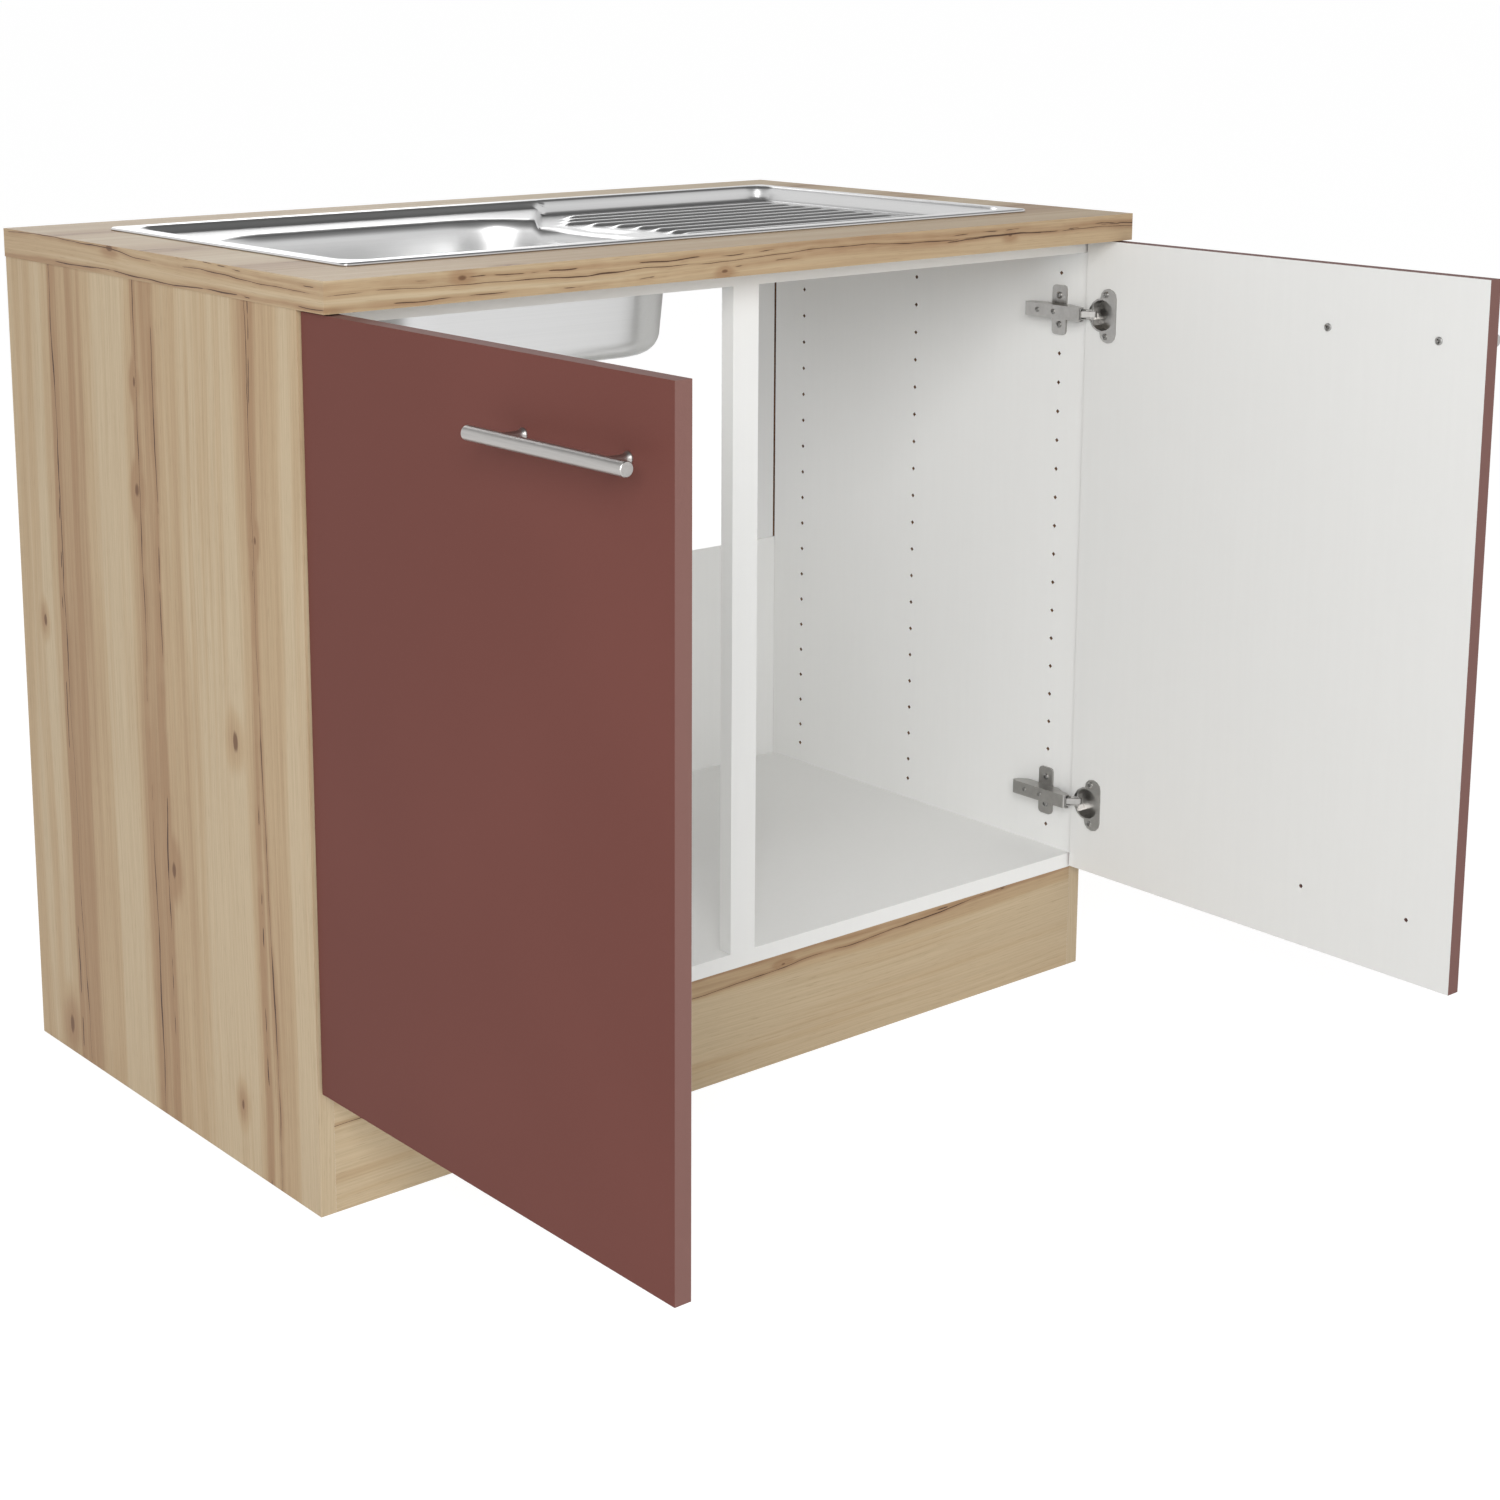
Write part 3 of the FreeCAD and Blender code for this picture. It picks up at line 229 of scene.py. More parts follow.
# The side panels: the outer face from the middle of the unit, and places just under each skin.
SIDE_OUTER = 0.499
SIDE_SKIN_IN, SIDE_SKIN_OUT = 0.48305, 0.49895
SIDE_SKIN_FRONT, SIDE_SKIN_BACK = 0.0005, 0.5535
SIDE_BANDS = ((-0.05, 0.2), (0.0, 0.12), (0.030, 0.10), (0.050, 0.55), (0.098, 0.72), (0.108, 0.30), (0.112, 0.02),
              (0.150, 0.05), (0.189, 0.06), (0.192, 0.38), (0.250, 0.55), (0.262, 0.85), (0.292, 0.80), (0.306, 0.30),
              (0.318, 0.04), (0.364, 0.0), (0.368, 0.30), (0.395, 0.55), (0.425, 0.95), (0.462, 0.85), (0.478, 0.40),
              (0.482, 0.22), (0.560, 0.30), (0.620, 0.2))
SIDE_CRACKS = ((0.071, -0.020, 1.15, 1.3), (0.092, 0.012, 0.42, 4.1), (0.262, 0.012, 0.60, 9.2),
               (0.286, 0.0, 1.0, 6.6), (0.449, -0.016, 1.10, 2.4), (0.466, 0.010, 0.40, 8.7))
SIDE_KNOTS = ((0.458, 0.500, 0.0035), (0.726, 0.290, 0.0035), (0.623, 0.291, 0.0045), (0.610, 0.080, 0.0030),
              (0.416, 0.124, 0.0055), (0.260, 0.250, 0.0050), (0.030, 0.488, 0.0065), (0.062, 0.137, 0.0040))


def side_board():
    """Oak outside and on the edges, white inside (the carcass white, painted lighter as painted light against the
    shade in the cabinet), raw board in the holes and the groove.
    """
    shade = Shade("side_board")
    x, y, z = shade.axes()
    reach = shade.math("ABSOLUTE", x)
    turn = shade.math("SUBTRACT", SIDE_OUTER, reach)
    tone, height = oak_tone(shade, z, shade.math("ADD", y, turn), SIDE_BANDS, SIDE_CRACKS, SIDE_KNOTS, 3.7,
                            thick=1.45)
    white, _ = white_colour(shade)
    inside = shade.math("LESS_THAN", reach, SIDE_SKIN_IN)
    within = shade.math("MULTIPLY", shade.math("GREATER_THAN", reach, SIDE_SKIN_IN),
                        shade.math("LESS_THAN", reach, SIDE_SKIN_OUT))
    middle = shade.math("MULTIPLY", shade.math("GREATER_THAN", y, SIDE_SKIN_FRONT),
                        shade.math("LESS_THAN", y, SIDE_SKIN_BACK))
    raw = shade.math("MULTIPLY", within, middle)
    tone = shade.mix(inside, tone, white)
    tone = shade.mix(raw, tone, raw_colour(shade))
    return shade.finish(Base_Color=tone, Roughness=0.55, Specular_IOR_Level=BOARD_SHINE,
                        Normal=shade.bump(height, *GRAIN_BUMP))


WORKTOP_UNDERSIDE = 0.822
WORKTOP_BANDS = ((-0.10, 0.2), (-0.046, 0.35), (-0.010, 0.55), (0.020, 0.30), (0.024, 0.65), (0.100, 0.9),
                 (0.130, 0.35), (0.134, 0.12), (0.200, 0.25), (0.232, 0.35), (0.236, 0.75), (0.300, 0.6),
                 (0.330, 0.2), (0.400, 0.1), (0.404, 0.45), (0.452, 0.9), (0.480, 0.5), (0.484, 0.15), (0.620, 0.3))
WORKTOP_CRACKS = ((0.100, 0.006, 0.45, 3.3), (0.452, -0.008, 0.55, 5.1), (0.270, 0.01, 0.3, 7.7))
WORKTOP_KNOTS = ((-0.310, -0.036, 0.0035), (0.470, 0.450, 0.004), (-0.470, 0.262, 0.004))
EDGE_BANDS = ((-0.020, 0.5), (0.004, 0.45), (0.010, 0.35), (0.016, 0.45), (0.024, 0.35), (0.040, 0.4))
EDGE_CRACKS = ((0.0165, 0.004, 0.86, 2.2), (0.0105, -0.012, 0.46, 7.4), (0.0215, 0.007, 0.42, 5.9))
EDGE_KNOTS = ((-0.315, 0.0235, 0.0032), (-0.02, 0.0075, 0.0024), (-0.83, 0.020, 0.0034), (0.36, 0.014, 0.0024))


def worktop_board():
    """Oak with its grain along the worktop, and an edge band whose grain runs round it."""
    shade = Shade("oak_worktop")
    x, y, z = shade.axes()
    facing_out = shade.axes(shade.add("ShaderNodeNewGeometry").outputs["Normal"])
    is_edge = shade.math("LESS_THAN", shade.math("ABSOLUTE", facing_out[2]), 0.5)
    along = shade.math("MULTIPLY_ADD", is_edge, shade.math("MULTIPLY", y, -1.0), x)
    top = oak_tone(shade, x, y, WORKTOP_BANDS, WORKTOP_CRACKS, WORKTOP_KNOTS, 11.3)
    band = oak_tone(shade, along, shade.math("SUBTRACT", z, WORKTOP_UNDERSIDE), EDGE_BANDS, EDGE_CRACKS,
                    EDGE_KNOTS, 17.9, wave=0.6, thick=0.8)
    tone = shade.mix(is_edge, top[0], band[0])
    height = shade.math("ADD", shade.math("MULTIPLY", is_edge, band[1]),
                        shade.math("MULTIPLY", shade.math("SUBTRACT", 1.0, is_edge), top[1]))
    return shade.finish(Base_Color=tone, Roughness=0.5, Specular_IOR_Level=BOARD_SHINE,
                        Normal=shade.bump(height, *GRAIN_BUMP))


# The plinth: its grain leans by a share of Y, which moves the front face's bands by PLINTH_SHIFT.
PLINTH_LEAN, PLINTH_SHIFT = 0.4, 0.0152
PLINTH_BANDS = ((-0.05, 0.05), (0.012, 0.10), (0.03, -0.05), (0.05, -0.12), (0.070, -0.05), (0.085, 0.25),
                (0.094, 0.5), (0.15, 0.5))
PLINTH_CRACKS = ((0.1010, -0.045, 0.80, 4.4), (0.1165, 0.0, 0.2, 8.0))
PLINTH_KNOTS = ((0.055, 0.1075, 0.0024),)


def plinth_board():
    """Pale oak with its grain along the board."""
    shade = Shade("oak_plinth")
    x, y, z = shade.axes()
    tone, height = oak_tone(shade, x, shade.math("ADD", z, shade.math("MULTIPLY", y, PLINTH_LEAN)),
                            tuple((place + PLINTH_SHIFT, share) for place, share in PLINTH_BANDS),
                            PLINTH_CRACKS, PLINTH_KNOTS, 23.9, wave=0.5)
    return shade.finish(Base_Color=shade.mix(1.0, tone, rgb(255, 254, 252), "MULTIPLY"), Roughness=0.55,
                        Specular_IOR_Level=BOARD_SHINE, Normal=shade.bump(height, *GRAIN_BUMP))


# The carcass white is painted lighter than the door white. This is painted light that makes up for the shade inside
# the cabinet; both are the same white board.
CARCASS_WHITE_PAINTED_LIGHTER = (0.86, 0.86, 0.845, 1)
DOOR_WHITE = (0.79, 0.79, 0.775, 1)


def dimmed(colour, share):
    """A colour times a share, opaque."""
    return tuple(part * share for part in colour[:3]) + (1,)


def white_colour(shade, tone=CARCASS_WHITE_PAINTED_LIGHTER):
    """Colour of white board and the faint upright ripple in it; by default the carcass white, painted lighter than
    the door white as painted light against the shade inside the cabinet.
    """
    ripple = shade.noise((180, 180, 9))
    return shade.mix(shade.step(ripple, 0.3, 0.7), tone, dimmed(tone, 0.992)), ripple


def white_board():
    """White board in the carcass white, painted lighter as painted light against the shade inside the cabinet, with a
    hardly raised ripple.
    """
    shade = Shade("white_board")
    tone, ripple = white_colour(shade)
    return shade.finish(Base_Color=tone, Roughness=0.5, Specular_IOR_Level=BOARD_SHINE,
                        Normal=shade.bump(ripple, 0.03, 0.0002))


def raw_colour(shade):
    """Pressed chips, as where a board is cut."""
    chips = shade.noise((420, 420, 420), detail=3.0, rough=0.7)
    return shade.mix(shade.step(chips, 0.35, 0.65), rgb(150, 112, 82), rgb(102, 70, 50))


# Places just under the doors' outer and inner skins, from the middle of the unit.
DOOR_SKIN_OUT, DOOR_SKIN_IN = 0.49580, 0.47990


def door_board():
    """Matt brown-red outside, a lighter edging and white inside."""
    shade = Shade("door_board")
    x = shade.math("ABSOLUTE", shade.axes()[0])
    grains = shade.noise((900, 900, 900))
    cloud = shade.noise((4, 4, 4), detail=1.0)
    red = shade.mix(shade.step(cloud, 0.3, 0.7), rgb(110, 65, 58), rgb(107, 63, 56))
    red = shade.mix(shade.step(grains, 0.4, 0.8, 0.0, 0.25), red, rgb(115, 70, 63))
    white, _ = white_colour(shade, DOOR_WHITE)
    tone = shade.mix(shade.math("GREATER_THAN", x, DOOR_SKIN_OUT), rgb(126, 92, 86), red)
    tone = shade.mix(shade.math("LESS_THAN", x, DOOR_SKIN_IN), tone, white)
    return shade.finish(Base_Color=tone, Roughness=0.62, Specular_IOR_Level=0.16,
                        Normal=shade.bump(grains, 0.10, 0.0003))


GLOSS_SPREAD = 0.06


def metal(name, colour, rough, streak, depth, vary=0.10):
    """Brushed or satin metal: streaks that change the gloss and the tone a little, and a bump if depth isn't 0."""
    shade = Shade(name)
    lines = shade.noise(streak, detail=3.0, rough=0.6)
    cloud = shade.noise((7, 7, 7))
    tone = shade.mix(shade.step(lines, 0.3, 0.7), colour, dimmed(colour, 1 - vary))
    gloss = shade.math("MULTIPLY_ADD", lines, GLOSS_SPREAD,
                       shade.math("MULTIPLY_ADD", cloud, GLOSS_SPREAD, rough - GLOSS_SPREAD))
    bumps = {"Normal": shade.bump(lines, depth, 0.0002)} if depth > 0 else {}
    return shade.finish(Base_Color=tone, Metallic=1.0, Roughness=gloss, **bumps)


def plain(name, colour, rough, scale=300, vary=0.12, depth=0.1):
    """Moulded plastic or foam with a fine grain."""
    shade = Shade(name)
    grain = shade.noise((scale, scale, scale), detail=3.0)
    tone = shade.mix(grain, colour, dimmed(colour, 1 - vary))
    return shade.finish(Base_Color=tone, Roughness=rough, Normal=shade.bump(grain, depth, 0.0003))


SIDE = side_board()
WORKTOP = worktop_board()
PLINTH = plinth_board()
WHITE = white_board()
DOOR = door_board()
SINK = metal("sink_steel", (0.68, 0.68, 0.68, 1), 0.30, (3, 900, 900), 0.0, 0.03)
WASTE = metal("waste_steel", (0.62, 0.62, 0.62, 1), 0.22, (200, 200, 200), 0.03)
CLAMP = metal("clamp_zinc", (0.55, 0.56, 0.57, 1), 0.4, (120, 120, 120), 0.1)
HANDLE = metal("handle_steel", (0.50, 0.485, 0.47, 1), 0.36, (900, 20, 900), 0.03)
NICKEL = metal("hinge_nickel", (0.44, 0.43, 0.415, 1), 0.30, (150, 150, 150), 0.02)
SCREW = metal("screw_zinc", (0.40, 0.395, 0.385, 1), 0.3, (300, 300, 300), 0.05)
FOAM = plain("seal_foam", (0.30, 0.30, 0.31, 1), 0.9, 500, 0.3, 0.5)
RUBBER = plain("waste_rubber", (0.05, 0.05, 0.05, 1), 0.7)
PLASTIC = plain("waste_plastic", (0.70, 0.70, 0.69, 1), 0.45)

# The first entry that a node's name starts with gives its material.
LOOKS = [("side_panel", SIDE), ("worktop", WORKTOP), ("plinth", PLINTH), ("door", DOOR),
         ("front_rail", WHITE), ("rear_rail", WHITE), ("centre_post", WHITE), ("bottom_panel", WHITE),
         ("back_panel", WHITE), ("sink_seal", FOAM), ("sink_clamps", CLAMP), ("sink", SINK),
         ("waste_gasket", RUBBER), ("waste_nut", PLASTIC), ("waste_outlet", PLASTIC), ("waste", WASTE),
         ("handle_screws", SCREW), ("handle", HANDLE), ("hinge", NICKEL), ("cup_pins", SCREW),
         ("arm_pins", SCREW), ("cup_screws", SCREW), ("plate_screws", SCREW), ("arm_screws", SCREW)]
for name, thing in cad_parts.items():
    material = next(item for start, item in LOOKS if name.startswith(start))
    thing.data.materials.clear()
    thing.data.materials.append(material)

# ---- mesh helpers ------------------------------------------------------------------------------------


MERGE = 1e-7


def piece(name, points, faces, material, body, slot, nodes, angle=35):
    """A mesh object that rides on a body in place of nodes; edges sharper than the angle stay sharp."""
    mesh = bpy.data.meshes.new(name)
    mesh.from_pydata([tuple(point) for point in points], [], faces)
    work = bmesh.new()
    work.from_mesh(mesh)
    bmesh.ops.remove_doubles(work, verts=work.verts, dist=MERGE)
    bmesh.ops.recalc_face_normals(work, faces=work.faces)
    work.to_mesh(mesh)
    work.free()
    for polygon in mesh.polygons:
        polygon.use_smooth = True
    mesh.set_sharp_from_angle(angle=math.radians(angle))
    mesh.materials.append(material)
    thing = bpy.data.objects.new(name, mesh)
    scene.collection.objects.link(thing)
    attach(thing, body)
    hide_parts(*nodes)
    return thing


def lathe(profile, matrix, segments):
    """Points and faces of a turned form about the matrix's Z axis, from pairs of radius and height."""
    points, faces, rows = [], [], []
    for radius, height in profile:
        count = segments if radius > 0 else 1
        rows.append([len(points) + turn for turn in range(count)])
        for turn in range(count):
            angle = 2 * math.pi * turn / segments
            points.append(matrix @ Vector((radius * math.cos(angle), radius * math.sin(angle), height)))
    for low, high in zip(rows, rows[1:]):
        for turn in range(segments):
            after = (turn + 1) % segments
            corners = [low[turn % len(low)], low[after % len(low)], high[after % len(high)], high[turn % len(high)]]
            corners = [c for i, c in enumerate(corners) if c not in corners[:i]]
            if len(corners) > 2:
                faces.append(tuple(corners))
    return points, faces


def gather(forms):
    """Several lists of points and faces as one."""
    points, faces = [], []
    for more_points, more_faces in forms:
        start = len(points)
        points += more_points
        faces += [tuple(start + corner for corner in face) for face in more_faces]
    return points, faces


def facing(origin, axis):
    """A matrix whose Z axis points along an axis from an origin."""
    return Matrix.Translation(origin) @ Vector((0, 0, 1)).rotation_difference(Vector(axis)).to_matrix().to_4x4()


def ease(value, low, high):
    """A smooth step from 0 to 1 as the value goes from low to high."""
    share = min(max((value - low) / (high - low), 0.0), 1.0)
    return share * share * (3 - 2 * share)


# ---- sink --------------------------------------------------------------------------------------------
# All sizes in this part are in millimetres, in the sink's own plan: its middle at 0, 0 and the worktop at 0.

SINK_HALF = (428.0, 217.0)
BOWL = (-388.0, 6.0, -182.0, 131.0)  # left, right, front and back of its mouth
BOWL_CORNER = 85.0
BOWL_ARC_STEPS, BOWL_SIDE_STEPS = 16, 20
FLOOR, LEDGE, BOTTOM, RIM = -13.5, -5.0, -118.0, 3.5  # heights: recess, tap ledge, bowl and flange
FLANGE, FLANGE_CORNER, FLANGE_FOOT = 16, 8, 0.35
RECESS_CORNER, RECESS_WALL = 24, 7.5
EDGE_ROLL, EDGE_FALL, SHOULDER = 2.2, 0.35, 0.5
LEDGE_X, LEDGE_Y, LEDGE_RUN, LEDGE_RISE = -10, 73, 98, 128  # the ledge's end slants from X, Y by run and rise
RIBS, RIB_FIRST, RIB_PITCH = 12, 141, 28.2
RIB_REACH, RIB_HALF, RIB_TALL, RIB_EASE, RIB_END = 7.5, 7.0, 3.6, 16, (375, 383)
SLANT_END_X, SLANT_END_Y, RIB_SLANT, RIB_CLEAR = 88, 194, 0.83, 32
RIB_NEAR_X, RIB_NEAR_Y, RIB_ARC = 62, -28, 380  # an arc round the bowl's end
CREASE_BACK, CREASE_LONG, CREASE_X, CREASE_RUN = 65.5, 99.6, 29.5, 14.4
CREASE_DEEP, CREASE_HALF, BESIDE_DEEP = 2.2, 4.0, 1.2
MOUTH_DIP, MOUTH_REACH = 3.2, 8
WALL_STEPS, WALL_START, WALL_DRAFT = 8, 1.2, 7.8
FOOT_STEPS, FOOT_INSET, FOOT = 9, 9, 22.0
DRAIN, DRAIN_FALL, DRAIN_LIP = 44, 0.8, 0.93
SHEET_THICK = 0.0009  # in metres
SINK_PLACE = (0.254, 0.850)  # Y of its middle and Z of the worktop, in metres


def round_box(x, y, left, right, low, high, corner):
    """Distance to a rounded rectangle, negative inside."""
    dx = abs(x - (left + right) / 2) - (right - left) / 2 + corner
    dy = abs(y - (low + high) / 2) - (high - low) / 2 + corner
    return math.hypot(max(dx, 0), max(dy, 0)) + min(max(dx, dy), 0) - corner


def outline(left, right, low, high, corner, arc_steps, side_steps=0, spacing=0):
    """Points round a rounded rectangle, with a number of steps or else a spacing along each side."""
    points = []
    corners = [(right, low, -90), (right, high, 0), (left, high, 90), (left, low, 180)]
    for index, (x, y, start) in enumerate(corners):
        cx = x - math.copysign(corner, x - (left + right) / 2)
        cy = y - math.copysign(corner, y - (low + high) / 2)
        for step in range(arc_steps + 1):
            angle = math.radians(start + 90 * step / arc_steps)
            points.append((cx + corner * math.cos(angle), cy + corner * math.sin(angle)))
        following = corners[(index + 1) % 4]
        nx = following[0] - math.copysign(corner, following[0] - (left + right) / 2)
        ny = following[1] - math.copysign(corner, following[1] - (low + high) / 2)
        angle = math.radians(following[2])
        end = (nx + corner * math.cos(angle), ny + corner * math.sin(angle))
        last = points[-1]
        count = side_steps or max(1, round(math.dist(last, end) / spacing))
        for step in range(1, count):
            share = step / count
            points.append((last[0] + (end[0] - last[0]) * share, last[1] + (end[1] - last[1]) * share))
    return points


def inset(distance, corner):
    """The flange's rectangle, moved inwards, with another corner."""
    return (-SINK_HALF[0] + distance, SINK_HALF[0] - distance, -SINK_HALF[1] + distance,
            SINK_HALF[1] - distance, corner)


def bowl_outline(inward):
    """The bowl's mouth, moved inwards, always with as many points."""
    left, right, low, high = BOWL
    return outline(left + inward, right - inward, low + inward, high - inward, BOWL_CORNER - inward,
                   BOWL_ARC_STEPS, BOWL_SIDE_STEPS)


def rib_start(y):
    """Left end of a rib: beside the ledge's slant at the back, and round the bowl elsewhere."""
    beside_ledge = SLANT_END_X - (SLANT_END_Y - y) * RIB_SLANT + RIB_CLEAR
    round_bowl = RIB_NEAR_X - (y - RIB_NEAR_Y) ** 2 / RIB_ARC
    return max(beside_ledge, round_bowl)


def ledge_side(x, y):
    """Distance out of the tap ledge's outline, negative on the ledge."""
    slant = ((x - LEDGE_X) * LEDGE_RISE - (y - LEDGE_Y) * LEDGE_RUN) / math.hypot(LEDGE_RISE, LEDGE_RUN)
    return max(LEDGE_Y - y, slant)


def flange_height(rim, wall):
    """Height on the flange, from the distances to its outer edge and to its inner one."""
    height = RIM
    if rim > -EDGE_ROLL:
        height -= EDGE_ROLL - math.sqrt(max(EDGE_ROLL ** 2 - (EDGE_ROLL + min(rim, 0)) ** 2, 0))
    return height - EDGE_FALL * ease(rim, -6, -EDGE_ROLL) - SHOULDER * (1 - ease(wall, 0, 2.5))


def rib_height(x, y):
    """Height of the drainer's ribs over the recess."""
    for index in range(RIBS):
        middle = RIB_FIRST - RIB_PITCH * index
        offset = abs(y - middle)
        if offset < RIB_REACH:
            arch = math.cos(math.pi / 2 * min(offset / RIB_HALF, 1)) ** 0.75
            start = rib_start(middle)
            return RIB_TALL * arch * ease(x, start - 1, start + RIB_EASE) * (1 - ease(x, *RIB_END))
    return 0.0


def sheet_height(x, y):
    """Height of the sink's upper surface outside the bowl."""
    wall = round_box(x, y, *inset(FLANGE, RECESS_CORNER))
    if wall >= 0:
        return flange_height(round_box(x, y, *inset(0, FLANGE_CORNER)), wall)
    floor = LEDGE + (FLOOR - LEDGE) * ease(ledge_side(x, y), -2.0, 4.5)
    floor += rib_height(x, y)
    # the crease between the bowl and the drainer, and the low strip on its left
    share = (CREASE_BACK - y) / CREASE_LONG
    if -0.1 < share < 1.1:
        off = x - (CREASE_X + CREASE_RUN * share)
        fade_in, fade_out = ease(share, -0.05, 0.35), 1 - ease(share, 0.65, 1.05)
        floor -= CREASE_DEEP * math.exp(-(off / CREASE_HALF) ** 2) * fade_in * fade_out
        floor -= BESIDE_DEEP * (1 - ease(off, -1, 9)) * ease(x, 2, 12) * fade_in * fade_out
    mouth = round_box(x, y, *BOWL, BOWL_CORNER)
    floor -= MOUTH_DIP * (1 - min(max(mouth, 0) / MOUTH_REACH, 1)) ** 2
    return RIM - SHOULDER + (floor - RIM + SHOULDER) * ease(-wall, 0, RECESS_WALL)


def sheet_spots(mouth):
    """Plan of the sheet round the bowl: its spots, and the edges that the triangles have to keep."""
    loops = [mouth]
    loops += [outline(*inset(distance, max(FLANGE_CORNER - distance, 5)), 8, spacing=14)
              for distance in (0, 0.5, 1.1, 2.2, 6)]
    loops += [outline(*inset(FLANGE - grow, RECESS_CORNER + grow), 10, spacing=10) for grow in (2.5, 1.2, 0)]
    loops += [outline(*inset(FLANGE + down, RECESS_CORNER - down / 2), 10, spacing=10)
              for down in (0.9, 1.9, 3, 4, 5.2, 6.4, 7.6)]
    spots, edges = [], []
    for loop in loops:
        start = len(spots)
        spots += loop
        edges += [(start + index, start + (index + 1) % len(loop)) for index in range(len(loop))]
    for grow in (1.0, 2.2, 3.8, 5.8, 8.2):
        spots += bowl_outline(-grow)
    # lines along the ledge's front and its slant
    for off in (-2.0, -0.6, 0.6, 1.8, 3.2, 4.5):
        for step in range(-80, 1):
            spots.append((LEDGE_X + step * 4.7, LEDGE_Y - off))
        for step in range(1, 40):
            spots.append((LEDGE_X + LEDGE_RUN * step / 39.2 + off * 0.794,
                          LEDGE_Y + LEDGE_RISE * step / 39.2 - off * 0.607))
    # a grid in the recess, finer across the ribs
    x = -403.0
    while x < 404:
        drains = x > 5
        y = -192.0
        while y < 193:
            ledge = ledge_side(x, y)
            wall = round_box(x, y, *inset(FLANGE, RECESS_CORNER))
            if wall < -8.8 and round_box(x, y, *BOWL, BOWL_CORNER) > 9.6 and (ledge < -3.2 or ledge > 5.6):
                spots.append((x, y))
            y += 1.55 if drains and ledge > 0 else 6.0
        x += 5.5 if drains else 7.0
    return spots, edges


def bowl_rings(mouth):
    """Rings down the bowl: drafted walls, a rounded foot and a floor that falls to the drain."""
    rings = []
    for level in range(WALL_STEPS + 1):
        amount = level / WALL_STEPS
        shape = bowl_outline(WALL_START + WALL_DRAFT * amount if level else 0.0)
        tops = [sheet_height(*spot) for spot in mouth]
        rings.append([(x, y, top + (BOTTOM + FOOT - top) * amount) for (x, y), top in zip(shape, tops)])
    for level in range(1, FOOT_STEPS + 1):
        amount = math.radians(10 * level)
        z = BOTTOM + FOOT * (1 - math.sin(amount))
        rings.append([(x, y, z) for x, y in bowl_outline(FOOT_INSET + FOOT * (1 - math.cos(amount)))])
    drain_x, drain_y = (BOWL[0] + BOWL[1]) / 2, (BOWL[2] + BOWL[3]) / 2
    last = rings[-1]
    for share in (0.2, 0.4, 0.6, 0.8, DRAIN_LIP, 1.0):
        fall = 0.0 if share < DRAIN_LIP else DRAIN_FALL * (share - DRAIN_LIP) / 0.07
        ring = []
        for x, y, _ in last:
            away = math.hypot(x - drain_x, y - drain_y)
            near = (drain_x + (x - drain_x) * DRAIN / away, drain_y + (y - drain_y) * DRAIN / away)
            ring.append((x + (near[0] - x) * share, y + (near[1] - y) * share, BOTTOM - fall))
        rings.append(ring)
    return rings


def sink_sheet():
    """The pressed sheet, over the CAD's sink."""
    mouth = bowl_outline(0.0)
    spots, edges = sheet_spots(mouth)
    made, _, triangles, *_ = delaunay_2d_cdt([Vector(spot) for spot in spots], edges, [], 0, 1e-4)
    points = [(spot.x, spot.y, sheet_height(spot.x, spot.y)) for spot in made]
    faces = []
    for face in triangles:
        middle = sum((made[corner] for corner in face), Vector((0, 0))) / len(face)
        if round_box(middle.x, middle.y, *BOWL, BOWL_CORNER) > -0.05:
            faces.append(tuple(face))
    # the rim's own edge goes down to the worktop
    skirt = outline(*inset(0, FLANGE_CORNER), 8, spacing=14)
    start = len(points)
    for x, y in skirt:
        points += [(x, y, sheet_height(x, y)), (x, y, FLANGE_FOOT)]
    for index in range(len(skirt)):
        after = (index + 1) % len(skirt)
        faces.append((start + 2 * index, start + 2 * index + 1, start + 2 * after + 1, start + 2 * after))
    rings = bowl_rings(mouth)
    for upper, lower in zip(rings, rings[1:]):
        start = len(points)
        points += upper + lower
        count = len(upper)
        for index in range(count):
            after = (index + 1) % count
            faces.append((start + index, start + after, start + count + after, start + count + index))
    placed = [(x / 1000, SINK_PLACE[0] + y / 1000, SINK_PLACE[1] + z / 1000) for x, y, z in points]
    thing = piece("sink_sheet", placed, faces, SINK, "cabinet", "sink_steel", ["sink"], angle=50)
    if sum(p.normal.z * p.area for p in thing.data.polygons) < 0:
        thing.data.flip_normals()
    thick = thing.modifiers.new("Sheet", "SOLIDIFY")
    thick.thickness = SHEET_THICK
    thick.offset = -1
    thing.data = bpy.data.meshes.new_from_object(thing.evaluated_get(bpy.context.evaluated_depsgraph_get()))
    thing.modifiers.clear()


sink_sheet()

# ---- handles -----------------------------------------------------------------------------------------

BAR_OUT, BAR_UP = 0.52385, 0.7582  # the bars' axes, from the middle of the unit and from the floor
BAR_ENDS = (-0.4809, -0.2849)
BAR_RADIUS, BAR_CHAMFER = 0.006, 0.0006
BAR_LONG = BAR_ENDS[1] - BAR_ENDS[0]
BAR_PROFILE = [(0, 0), (BAR_RADIUS - BAR_CHAMFER, 0), (BAR_RADIUS, BAR_CHAMFER),
               (BAR_RADIUS, BAR_LONG - BAR_CHAMFER), (BAR_RADIUS - BAR_CHAMFER, BAR_LONG), (0, BAR_LONG)]
POST_SEAT = 0.49585
POST_PLACES = (-0.4469, -0.3189)
POST_PROFILE = [(0, 0), (0.0055, 0), (0.0055, 0.0008), (0.0052, 0.0014), (0.0042, 0.0030), (0.0037, 0.0048),
                (0.0035, 0.0070), (0.0035, 0.0238), (0, 0.0238)]

